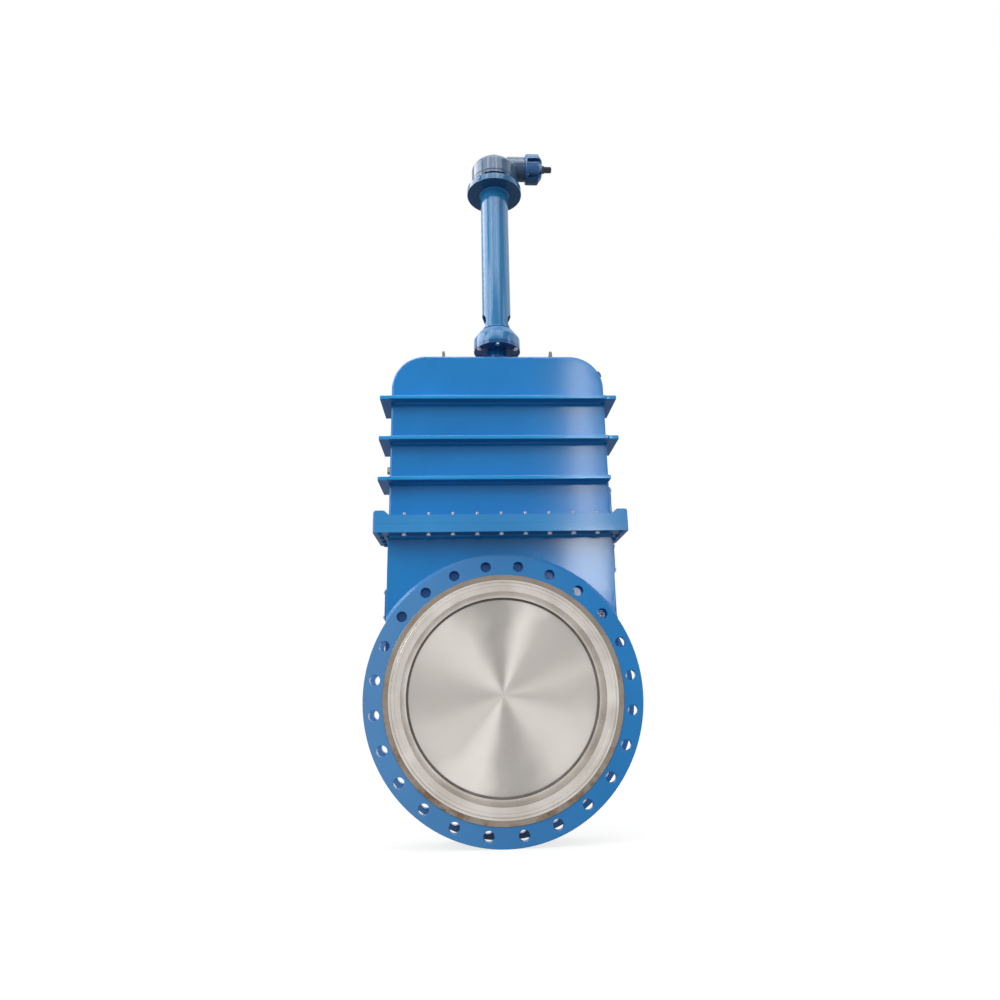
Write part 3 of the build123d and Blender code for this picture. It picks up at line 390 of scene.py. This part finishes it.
def make_gasket():
    """Sheet between the two joint flanges, its rim painted over with them."""
    tree = Tree("painted_gasket")
    colour, rough, normal = paint_into(tree, BLUE)
    up = tree.part(tree.add("TexCoord").outputs["Normal"], 2)
    sheet = tree.math("GREATER_THAN", tree.math("ABSOLUTE", up), 0.5)
    tree.set(Base_Color=tree.mix(sheet, colour, (0.045, 0.050, 0.055, 1)), Normal=normal)
    tree.set(Roughness=tree.math("ADD", rough, tree.math("MULTIPLY", sheet, 0.45)), Specular_IOR_Level=0.2)
    return tree.material


material["gasket"] = make_gasket()
material["ground_stem"] = make_metal("ground_stem", (0.40, 0.39, 0.37), (0.66, 0.64, 0.61), 0.16, 0.32, 260)
flange_paint = make_flange_paint()
# Painted highlight: paler copies of the blue enamel for the joint flanges and the ribs, standing in for the
# light on their fronts.
joint_lit_paint = make_blue_paint("joint_lit_paint", (0.030, 0.262, 0.615, 1))
rib_lit_paint = make_blue_paint("rib_lit_paint", (0.008, 0.295, 0.690, 1))
special_material = {
    "front_flange_ring": flange_paint, "rear_flange_ring": flange_paint,
    # Painted highlight: a greyer copy of the enamel with heavy pale dust on what faces up, partly dust and
    # partly standing in for the light that washes out the gearbox's colour.
    "gearbox_housing": make_blue_paint("washed_out_highlight_paint", (0.060, 0.125, 0.225, 1), 0.7),
    # Painted reflection: greyer copies of the enamel on the column and its base flange, standing in for the
    # pale light they mirror.
    "yoke_tube": make_blue_paint("column_paint", (0.020, 0.190, 0.430, 1), 0.3),
    "yoke_base_flange": make_blue_paint("base_paint", (0.018, 0.180, 0.420, 1), 0.4),
    # Painted shade: darker copies of the enamel on the stuffing box, the head flange and the gearbox base
    # plate.
    "stuffing_box": make_blue_paint("shaded_paint", (0.001, 0.080, 0.250, 1), 0.2),
    "yoke_head_flange": make_blue_paint("head_shaded_paint", (0.012, 0.125, 0.300, 1), 0.5),
    "gearbox_base_plate": make_blue_paint("plate_shaded_paint", (0.030, 0.085, 0.190, 1), 0.3),
    # Painted highlight: a greyer copy of the enamel on the bearing cap, matching the washed-out light on the
    # gearbox.
    "input_bearing_cap": make_blue_paint("cap_paint", (0.030, 0.150, 0.370, 1), 0.5),
    "body_top_flange": joint_lit_paint, "bonnet_bottom_flange": joint_lit_paint,
    "lifting_eyes": make_metal("dull_zinc", (0.12, 0.12, 0.125), (0.26, 0.26, 0.26), 0.35, 0.55),
    "input_shaft": make_metal("blued_steel", (0.018, 0.018, 0.034), (0.040, 0.040, 0.065), 0.45, 0.6,
                              metallic=0.4),
}
special_material.update(dict.fromkeys(RIB_NAMES, rib_lit_paint))


# Joint bolts further than this from the middle are painted over
PAINTED_BOLTS_FROM = 0.45


def make_joint_bolts():
    """Zinc-plated bolts, of which those at the joint's two ends were painted over."""
    tree = Tree("joint_bolt_finish")
    colour, rough, normal = paint_into(tree, BLUE)
    fine = tree.noise(120, 5, 0.6)
    off_centre = tree.math("ABSOLUTE", tree.part(tree.place, 0))
    bare = tree.math("LESS_THAN", off_centre, PAINTED_BOLTS_FROM)
    zinc = tree.mix(tree.ramp(fine, 0.3, 0.7), (0.42, 0.43, 0.44, 1), (0.68, 0.68, 0.67, 1))
    tree.set(Base_Color=tree.mix(bare, colour, zinc), Metallic=bare, Specular_IOR_Level=0.3)
    tree.set(Roughness=tree.math("ADD", rough, tree.math("MULTIPLY", bare, 0.2)))
    tree.set(Normal=tree.bump(fine, 0.0001, 0.6, normal))
    return tree.material


joint_bolt_finish = make_joint_bolts()


# Rounded edges and clean shading on the CAD nodes
SPLIT_CORNER = 0.000005
SHARP_EDGE = radians(35)


def cleaning_group():
    """Joins the split corners of an imported mesh and drops its stored normals."""
    group = bpy.data.node_groups.new("clean_mesh", "GeometryNodeTree")
    group.interface.new_socket("Geometry", in_out="INPUT", socket_type="NodeSocketGeometry")
    group.interface.new_socket("Geometry", in_out="OUTPUT", socket_type="NodeSocketGeometry")
    start, end = group.nodes.new("NodeGroupInput"), group.nodes.new("NodeGroupOutput")
    merge = group.nodes.new("GeometryNodeMergeByDistance")
    merge.inputs["Distance"].default_value = SPLIT_CORNER
    drop = group.nodes.new("GeometryNodeRemoveAttribute")
    drop.inputs["Name"].default_value = "custom_normal"
    group.links.new(start.outputs[0], drop.inputs["Geometry"])
    group.links.new(drop.outputs["Geometry"], merge.inputs["Geometry"])
    group.links.new(merge.outputs["Geometry"], end.inputs[0])
    return group


def smoothing_group(angle):
    """Smooth shading, with edges sharper than the angle kept sharp."""
    group = bpy.data.node_groups.new("smooth_by_angle", "GeometryNodeTree")
    group.interface.new_socket("Geometry", in_out="INPUT", socket_type="NodeSocketGeometry")
    group.interface.new_socket("Geometry", in_out="OUTPUT", socket_type="NodeSocketGeometry")
    start, end = group.nodes.new("NodeGroupInput"), group.nodes.new("NodeGroupOutput")
    faces = group.nodes.new("GeometryNodeSetShadeSmooth")
    edges = group.nodes.new("GeometryNodeSetShadeSmooth")
    edges.domain = "EDGE"
    edges.inputs["Shade Smooth"].default_value = False
    sharp = group.nodes.new("FunctionNodeCompare")
    sharp.operation = "GREATER_THAN"
    sharp.inputs[1].default_value = angle
    measure = group.nodes.new("GeometryNodeInputMeshEdgeAngle")
    group.links.new(start.outputs[0], faces.inputs["Geometry"])
    group.links.new(faces.outputs["Geometry"], edges.inputs["Geometry"])
    group.links.new(measure.outputs["Unsigned Angle"], sharp.inputs[0])
    group.links.new(sharp.outputs["Result"], edges.inputs["Selection"])
    group.links.new(edges.outputs["Geometry"], end.inputs[0])
    return group


CLEAN = cleaning_group()
SMOOTH = smoothing_group(SHARP_EDGE)


def modify(obj, kind, **settings):
    modifier = obj.modifiers.new(kind.lower(), kind)
    for name, value in settings.items():
        setattr(modifier, name, value)
    return modifier


USUAL_EDGE = 0.0012
CAST_ROUNDS = 14
# The voxel size of each casting that is rounded all over
CAST = {"gearbox_housing": 0.0022, "input_bearing_cap": 0.0018}


def dress(name, edge):
    """Gives a CAD node its material, rounded edges and smooth shading. A casting is rounded all over."""
    obj = node[name]
    finish = special_material.get(name, material[slot_of_node[name]])
    obj.data.materials.clear()
    obj.data.materials.append(finish)
    modify(obj, "NODES", node_group=CLEAN)
    if name in CAST:
        modify(obj, "REMESH", mode="VOXEL", voxel_size=CAST[name], use_smooth_shade=True)
        modify(obj, "SMOOTH", factor=0.5, iterations=CAST_ROUNDS)
        return
    if edge:
        modify(obj, "BEVEL", width=edge, segments=2, limit_method="ANGLE", angle_limit=SHARP_EDGE,
               miter_outer="MITER_ARC")
    modify(obj, "NODES", node_group=SMOOTH)
    modify(obj, "WEIGHTED_NORMAL", keep_sharp=True)


# The edge rounding of each piece that has its own
EDGE = {
    "body_front_plate": 0.002, "body_rear_plate": 0.002, "joint_bolts": 0.0006, "packing_rings": 0.0015,
    "yoke_base_flange": 0.004, "bonnet_bottom_flange": 0.0005, "body_top_flange": 0.0005,
    "bonnet_joint_gasket": 0, "upper_rib": 0.003, "middle_rib": 0.003, "lower_rib": 0.003,
    "front_flange_ring": 0.0015, "rear_flange_ring": 0.0015, "yoke_head_flange": 0.003,
    "bevel_wheel": 0.0003, "bevel_pinion": 0.0003, "input_bearings": 0,
    "upper_thrust_bearing": 0, "lower_thrust_bearing": 0, "lifting_eyes": 0.0015,
    "gate_plate": 0.001, "clevis_split_pin": 0.0004, "front_seat_seal": 0.0006, "rear_seat_seal": 0.0006,
}
for name in node:
    dress(name, EDGE.get(name, USUAL_EDGE))


# The scene's own pieces
def add_piece(name, bm, body, slot, finish=None):
    """A mesh piece that rides on a body."""
    mesh = bpy.data.meshes.new(name)
    bm.normal_update()
    bm.to_mesh(mesh)
    bm.free()
    piece = bpy.data.objects.new(name, mesh)
    scene.collection.objects.link(piece)
    mesh.materials.append(finish or material[slot])
    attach(piece, body)
    modify(piece, "NODES", node_group=SMOOTH)
    return piece


def islands(name):
    """The lowest and highest corner of each separate solid in a node."""
    bm = bmesh.new()
    bm.from_mesh(node[name].data)
    bmesh.ops.remove_doubles(bm, verts=bm.verts, dist=0.00002)
    seen = set()
    boxes = []
    for start in bm.verts:
        if start in seen:
            continue
        seen.add(start)
        stack, points = [start], []
        while stack:
            vertex = stack.pop()
            points.append(vertex.co.copy())
            for edge in vertex.link_edges:
                other = edge.other_vert(vertex)
                if other not in seen:
                    seen.add(other)
                    stack.append(other)
        boxes.append((Vector(map(min, zip(*points))), Vector(map(max, zip(*points)))))
    bm.free()
    return boxes


def skin(bm, rings, close_start=True, close_end=True):
    """Faces between rings of points, each ring a closed loop of the same count."""
    loops = [[bm.verts.new(point) for point in ring] for ring in rings]
    count = len(loops[0])
    for one, two in zip(loops, loops[1:]):
        for i in range(count):
            j = (i + 1) % count
            bm.faces.new((one[i], one[j], two[j], two[i]))
    if close_start:
        bm.faces.new(loops[0][::-1])
    if close_end:
        bm.faces.new(loops[-1])


# Bolts, studs and nuts: points round each ring, and the pitches of the threads
AROUND = 18
BOLT_PITCH = 0.00175
STUD_PITCH = 0.0015
# The thread's depth, the head's height and the thread's length, in radii of the shank
THREAD_CUT = 0.13
HEAD_HEIGHT = 1.3
THREADED_LENGTH = 5
# Half the width of the thread's crest, and the width of a flank, in half pitches
CREST = 0.37
FLANK = 0.26
# The radius of a head's turned face, in widths across flats, and the slope of its chamfer
CHAMFER_FACE = 0.475
CHAMFER_SLOPE = 0.577


def hexagon_reach(angle, flats):
    """Distance from the axis to a hexagon's side, with a corner at angle 0."""
    return flats / 2 / cos((angle + pi / 6) % (pi / 3) - pi / 6)


def hexagon_rings(place, flats, low_end, high_end, turn, chamfer_high):
    """Rings of a hexagon head with its corners turned off at one end or both."""
    angles = [tau * i / AROUND for i in range(AROUND)]
    reach = [hexagon_reach(a + turn, flats) for a in angles]
    face = flats * CHAMFER_FACE

    def ring(radii, heights):
        return [place @ Vector((r * cos(a), r * sin(a), h)) for r, a, h in zip(radii, angles, heights)]

    cut = [(r - face) * CHAMFER_SLOPE for r in reach]
    rings = [ring([face] * AROUND, [low_end] * AROUND), ring(reach, [low_end + c for c in cut])]
    if chamfer_high:
        rings += [ring(reach, [high_end - c for c in cut]), ring([face] * AROUND, [high_end] * AROUND)]
    else:
        rings += [ring(reach, [high_end] * AROUND)]
    return rings


def threaded_rings(place, radius, start, end, pitch, depth, steps=6, hand=1, count=AROUND):
    """Rings of a thread between two heights, tapered at both ends."""
    total = max(2, round((end - start) / pitch * steps))
    rings = []
    for i in range(total + 1):
        height = start + (end - start) * i / total
        fade = min(1.0, i / steps, (total - i) / steps)
        ring = []
        for j in range(count):
            phase = (height / pitch - hand * j / count) % 1.0
            wave = min(1.0, max(0.0, (abs(phase - 0.5) * 2 - CREST) / FLANK))
            tip = radius - depth * (1 - fade) if i in (0, total) else radius
            r = tip - depth * wave * fade
            angle = tau * j / count
            ring.append(place @ Vector((r * cos(angle), r * sin(angle), height)))
        rings.append(ring)
    return rings


def fastener_place(box, axis, head_at):
    """The matrix whose +Z runs from the head into the shank, the flats, the hexagon's turn, the length."""
    low_corner, high_corner = box
    origin = (low_corner + high_corner) / 2
    origin[axis] = (low_corner, high_corner)[head_at > 0][axis]
    along = Vector((0, 0, 0))
    along[axis] = -head_at
    side = Vector((0, 0, 0))
    side[(axis + 1) % 3] = 1
    turn = Matrix((side, along.cross(side), along)).transposed()
    size = high_corner - low_corner
    lateral = (size[(axis + 1) % 3], size[(axis + 2) % 3])
    flats = min(lateral)
    corner_turn = pi / 6 if lateral[0] < lateral[1] else 0
    return Matrix.Translation(origin) @ turn.to_4x4(), flats, corner_turn, size[axis]


def bolt_into(bm, box, axis, head_at):
    """A hexagon bolt with a turned head and a thread at its end, the size of the CAD bolt."""
    place, flats, turn, length = fastener_place(box, axis, head_at)
    radius = flats / 3
    head = HEAD_HEIGHT * radius
    skin(bm, hexagon_rings(place, flats, 0, head, turn, False))
    thread_start = max(head, length - THREADED_LENGTH * radius)
    shank = [[place @ Vector((radius * cos(tau * i / AROUND), radius * sin(tau * i / AROUND), h))
              for i in range(AROUND)] for h in (head, thread_start)]
    rings = threaded_rings(place, radius, thread_start, length, BOLT_PITCH, radius * THREAD_CUT)
    skin(bm, shank + rings)


def detailed_bolts(name, axis, head_at=None, finish=None):
    """Replaces a node of plain bolts. Where head_at isn't given, heads face away from the valve's middle."""
    bm = bmesh.new()
    for box in islands(name):
        middle = (box[0] + box[1])[axis]
        bolt_into(bm, box, axis, head_at or (1 if middle > 0 else -1))
    piece = add_piece(name + "_threaded", bm, body_of_node[name], slot_of_node[name], finish)
    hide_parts(name)


detailed_bolts("joint_bolts", 2, -1, joint_bolt_finish)
detailed_bolts("base_bolts", 2, -1)
detailed_bolts("input_cap_bolts", 0, 1)
detailed_bolts("port_cover_screws", 0)


def detailed_gland():
    """Threaded studs, and nuts with turned corners."""
    bm = bmesh.new()
    for low_corner, high_corner in islands("gland_studs"):
        middle = (low_corner + high_corner) / 2
        radius = (high_corner.x - low_corner.x) / 2
        place = Matrix.Translation((middle.x, middle.y, 0))
        cut = radius * THREAD_CUT
        skin(bm, threaded_rings(place, radius, low_corner.z, high_corner.z, STUD_PITCH, cut))
    piece = add_piece("gland_studs_threaded", bm, body_of_node["gland_studs"], "zinc_steel")
    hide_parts("gland_studs")
    bm = bmesh.new()
    for box in islands("gland_nuts"):
        place, flats, turn, length = fastener_place(box, 2, -1)
        skin(bm, hexagon_rings(place, flats, 0, length, turn, True))
    piece = add_piece("gland_nuts_turned", bm, body_of_node["gland_nuts"], "zinc_steel")
    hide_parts("gland_nuts")


detailed_gland()


# The stem: smooth where it runs in the packing, threaded where the nut runs on it, with a left-hand thread
THREAD_LEAD = 0.012
THREAD_DEPTH = 0.005
STEM_AROUND = 40


def detailed_stem():
    radius = (high("stem").x - low("stem").x) / 2
    bottom, top = low("stem").z, high("stem").z
    thread_start = high("stuffing_box").z + THREAD_LEAD * 6
    thread_end = top - THREAD_LEAD * 0.5

    def ring(r, h):
        angles = [tau * i / STEM_AROUND for i in range(STEM_AROUND)]
        return [Vector((r * cos(angle), r * sin(angle), h)) for angle in angles]

    bm = bmesh.new()
    lower = [ring(radius, bottom), ring(radius, thread_start)]
    thread = threaded_rings(Matrix(), radius, thread_start, thread_end, THREAD_LEAD, THREAD_DEPTH,
                            8, -1, STEM_AROUND)
    skin(bm, lower + thread + [ring(radius - 0.001, thread_end), ring(radius - 0.003, top)])
    finish = material["ground_stem"]
    piece = add_piece("stem_threaded", bm, body_of_node["stem"], slot_of_node["stem"], finish)
    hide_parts("stem")


detailed_stem()


# Weld beads
BEAD_STEP = 0.0035
# How much a bead's size changes from ripple to ripple and along its length
RIPPLE = 0.05
WANDER = 0.14
# The leg of each kind of bead
RIB_LEG = 0.006
FLANGE_LEG = 0.009
JOINT_LEG = 0.008
CHEST_LEG = 0.007
TUBE_FOOT_LEG = 0.005
TUBE_HEAD_LEG = 0.006
NECK_LEG = 0.006
# A rib that reaches this far past the chest's right side has a side bar there
BAR_REACH = 0.010
RIB_THICKNESS = 0.016
# The pipe flange's bead ends this far round from the top
FLANGE_SEAM_END = radians(58)
# The chest's seams run this far behind its faces, and stop this far below the joint's flange
SEAM_INSET = 0.016
SEAM_END = 0.012
# The legs of a chest seam along the bore and outward, in sizes of the bead
LONG_LEG = 0.9
SHORT_LEG = 0.35


def bead_into(bm, path, leg, closed=False):
    """A rippled fillet weld: path gives points with the two directions in which its legs lie."""
    rings = []
    for i, (point, one, two) in enumerate(path):
        size = leg * (1 + RIPPLE * (i % 2) + WANDER * noise.noise(point * 16))
        bulge = (one + two).normalized()
        root = point - (one + two) * leg * 0.12
        rings.append([root, point + one * size, point + one * size * 0.62 + bulge * size * 0.30,
                      point + bulge * size * 0.74, point + two * size * 0.62 + bulge * size * 0.30,
                      point + two * size])
    if closed:
        rings.append([point.copy() for point in rings[0]])
    skin(bm, rings, not closed, not closed)


def line(start, end, one, two):
    """A straight path for a bead."""
    start, end = Vector(start), Vector(end)
    count = max(2, int((end - start).length / BEAD_STEP))
    return [(start.lerp(end, i / count), Vector(one), Vector(two)) for i in range(count + 1)]


def circle(radius, height, upward):
    """A path round the stem's axis, its legs outward and up or down."""
    count = max(8, int(radius * tau / BEAD_STEP))
    path = []
    for i in range(count + 1):
        angle = tau * i / count
        out = Vector((cos(angle), sin(angle), 0))
        path.append((out * radius + Vector((0, 0, height)), out, Vector((0, 0, upward))))
    return path


def flange_arc(depth, start, end):
    """A path round the pipe flange, on the chest's face, its legs outward and along the bore."""
    count = int(FLANGE_RADIUS * (end - start) / BEAD_STEP)
    side = 1 if depth > 0 else -1
    path = []
    for i in range(count + 1):
        angle = start + (end - start) * i / count
        out = Vector((sin(angle), 0, cos(angle)))
        path.append((out * FLANGE_RADIUS + Vector((0, depth, 0)), out, Vector((0, side, 0))))
    return path


def rib_welds(bm):
    """Beads above and below each rib, and above and below its side bar on the right."""
    half, inset, drop = BODY_HALF_WIDTH, 0.014, 0.002
    for name in RIB_NAMES:
        top = high(name).z
        edges = ((top, 1), (top - RIB_THICKNESS, -1))
        for side in (-1, 1):
            face, out = side * CHEST_FACE, (0, side, 0)
            for height, up in edges:
                seam = line((-half + inset, face, height), (half - inset, face, height), (0, 0, up), out)
                bead_into(bm, seam, RIB_LEG)
        if high(name).x > half + BAR_REACH:
            for height, up in edges:
                start = (half, -CHEST_FACE + inset, height - drop)
                end = (half, CHEST_FACE - inset, height - drop)
                bead_into(bm, line(start, end, (0, 0, up), (1, 0, 0)), RIB_LEG)


def joint_welds(bm):
    """Beads where the body and the bonnet meet their flanges."""
    half, inset = BODY_HALF_WIDTH, 0.004
    feet = ((BONNET_BOTTOM, 1), (BODY_TOP, -1))
    for side in (-1, 1):
        face, out = side * CHEST_FACE, (0, side, 0)
        for height, up in feet:
            seam = line((-half + inset, face, height), (half - inset, face, height), (0, 0, up), out)
            bead_into(bm, seam, JOINT_LEG)
        for height, up in feet:
            start = (side * half, -CHEST_FACE + inset, height)
            end = (side * half, CHEST_FACE - inset, height)
            bead_into(bm, line(start, end, (0, 0, up), (side, 0, 0)), JOINT_LEG)
        for away in (-1, 1):
            y = away * (CHEST_FACE - SEAM_INSET)
            legs = (0, away * LONG_LEG, 0), (side * SHORT_LEG, 0, 0)
            seam = line((side * half, y, 0.0), (side * half, y, BODY_TOP - SEAM_END), *legs)
            bead_into(bm, seam, CHEST_LEG)


def round_chest_welds(bm):
    """Beads round the chest's lower half, where the side band meets the plates."""
    half = BODY_HALF_WIDTH
    for away in (-1, 1):
        y = away * (CHEST_FACE - SEAM_INSET)
        count = int(half * pi / BEAD_STEP)
        path = []
        for i in range(count + 1):
            angle = pi + pi * i / count
            out = Vector((cos(angle), 0, sin(angle)))
            path.append((out * half + Vector((0, y, 0)), Vector((0, away * LONG_LEG, 0)), out * SHORT_LEG))
        bead_into(bm, path, CHEST_LEG)


def weld_seams():
    """The seams of the welded chest, bonnet and yoke."""
    bm = bmesh.new()
    for depth in (-CHEST_FACE, CHEST_FACE):
        bead_into(bm, flange_arc(depth, -FLANGE_SEAM_END, FLANGE_SEAM_END), FLANGE_LEG)
    rib_welds(bm)
    joint_welds(bm)
    round_chest_welds(bm)
    bead_into(bm, circle(NECK_RADIUS, BONNET_TOP, 1), NECK_LEG, True)
    bead_into(bm, circle(TUBE_RADIUS, high("yoke_base_flange").z, 1), TUBE_FOOT_LEG, True)
    bead_into(bm, circle(TUBE_RADIUS, low("yoke_head_flange").z, -1), TUBE_HEAD_LEG, True)
    add_piece("weld_beads", bm, "root", "blue_paint")


weld_seams()


# Floor, lamps and world
def make_floor():
    """A pale floor that shows white where nothing shades it."""
    mesh = bpy.data.meshes.new("floor")
    reach = 30
    corners = [(-reach, -reach), (reach, -reach), (reach, reach), (-reach, reach)]
    mesh.from_pydata([(x, y, FLOOR_HEIGHT) for x, y in corners], [], [(0, 1, 2, 3)])
    floor = bpy.data.objects.new("floor", mesh)
    scene.collection.objects.link(floor)
    tree = Tree("floor")
    mottle = tree.ramp(tree.noise(1.3, 3, 0.5), 0.3, 0.7, 0.98, 1.0)
    tree.set(Base_Color=tree.mix(mottle, grey(0.0), grey(0.22)), Roughness=0.9, Specular_IOR_Level=0.0)
    path = tree.add("LightPath").outputs
    sharp = tree.math("MAXIMUM", path["Is Glossy Ray"], path["Is Transmission Ray"])
    seen = tree.math("MAXIMUM", path["Is Camera Ray"], sharp)
    tree.set(Emission_Color=grey(1.0), Emission_Strength=tree.math("MULTIPLY", seen, 0.78))
    floor.data.materials.append(tree.material)


def area_light(name, place, target, width, height, radiance):
    """A soft rectangular lamp whose face has the given brightness."""
    data = bpy.data.lights.new(name, "AREA")
    data.shape = "RECTANGLE"
    data.size = width
    data.size_y = height
    data.energy = radiance * pi * width * height
    lamp = bpy.data.objects.new(name, data)
    lamp.location = place
    lamp.rotation_euler = (Vector(target) - Vector(place)).to_track_quat("-Z", "Y").to_euler()
    scene.collection.objects.link(lamp)
    return lamp


def glossy_pieces():
    """The painted pieces, apart from the pipe flanges, which mirror no window in the photograph."""
    collection = bpy.data.collections.new("painted")
    for obj in scene.objects:
        finish = obj.active_material
        if obj.type == "MESH" and finish and finish != flange_paint and "paint" in finish.name:
            collection.objects.link(obj)
    return collection


painted = glossy_pieces()


def shine(*settings):
    """A lamp that only shows in the gloss of the painted pieces, and lights nothing else."""
    lamp = area_light(*settings)
    lamp.visible_diffuse = False
    lamp.visible_camera = False
    lamp.light_linking.receiver_collection = painted


def make_world():
    """A pale room, darker in front and below, that is plain white to the camera and in reflections."""
    world = bpy.data.worlds.new("world")
    world.use_nodes = True
    scene.world = world
    tree = world.node_tree

    def add(kind, **inputs):
        new = tree.nodes.new("ShaderNode" + kind)
        for name, value in inputs.items():
            socket = new.inputs[name.replace("_", " ")]
            if isinstance(value, bpy.types.NodeSocket):
                tree.links.new(value, socket)
            else:
                socket.default_value = value
        return new

    place = add("TexCoord").outputs["Generated"]
    split = add("SeparateXYZ", Vector=place)
    rise = add("MapRange", Value=split.outputs["Z"], From_Min=0.30, From_Max=0.72, To_Min=0.0, To_Max=1.0)
    depth = add("MapRange", Value=split.outputs["Y"], From_Min=-0.2, From_Max=0.5, To_Min=0.40, To_Max=0.85)
    room = add("Mix", Factor=rise.outputs[0], A=depth.outputs[0], B=1.15)
    path = add("LightPath").outputs
    sharp = add("Math", Value=path["Is Glossy Ray"])
    sharp.operation = "MAXIMUM"
    tree.links.new(path["Is Transmission Ray"], sharp.inputs[1])
    direct = add("Math", Value=path["Is Camera Ray"])
    direct.operation = "MAXIMUM"
    tree.links.new(sharp.outputs[0], direct.inputs[1])
    seen = add("Mix", Factor=direct.outputs[0], A=room.outputs["Result"], B=1.0)
    tree.links.new(seen.outputs["Result"], tree.nodes["Background"].inputs["Strength"])
    tree.nodes["Background"].inputs["Color"].default_value = (1, 1, 1, 1)


def place_lamps():
    """Three soft lamps, and windows and skylights that only show in the paint's gloss."""
    area_light("left_window", (-4.6, -3.2, 3.4), (0, 0, 1.0), 2.2, 3.4, 7.5)
    area_light("right_window", (4.8, -2.6, 3.0), (0, 0, 0.9), 1.4, 3.2, 3.5)
    area_light("roof_light", (0, -0.6, 6.0), (0, 0, 1.0), 5.0, 2.5, 1.6)
    shine("window_low", (1.67, -8.0, 1.70), (1.67, 0, 1.70), 0.62, 1.20, 24.0)
    shine("window_high", (1.67, -8.0, 3.85), (1.67, 0, 3.85), 0.34, 2.80, 17.0)
    shine("skylight", (-0.6, -3.8, 6.3), (0, 0, 2.2), 8.0, 4.0, 4.5)
    for i, (x, width) in enumerate(((-2.3, 0.5), (-0.35, 0.22), (0.75, 0.38))):
        shine(f"skylight_strip_{i}", (x, -3.75, 6.2), (0, 0, 2.2), width, 4.0, 8.0)
    shine("left_skylight", (-6.0, 0.6, 6.3), (0, 0, 2.2), 6.0, 4.0, 7.0)
    shine("right_skylight", (6.0, 0.6, 6.3), (0, 0, 2.2), 5.0, 4.0, 1.2)


place_camera()
make_floor()
make_world()
place_lamps()
scene.view_settings.view_transform = "Standard"
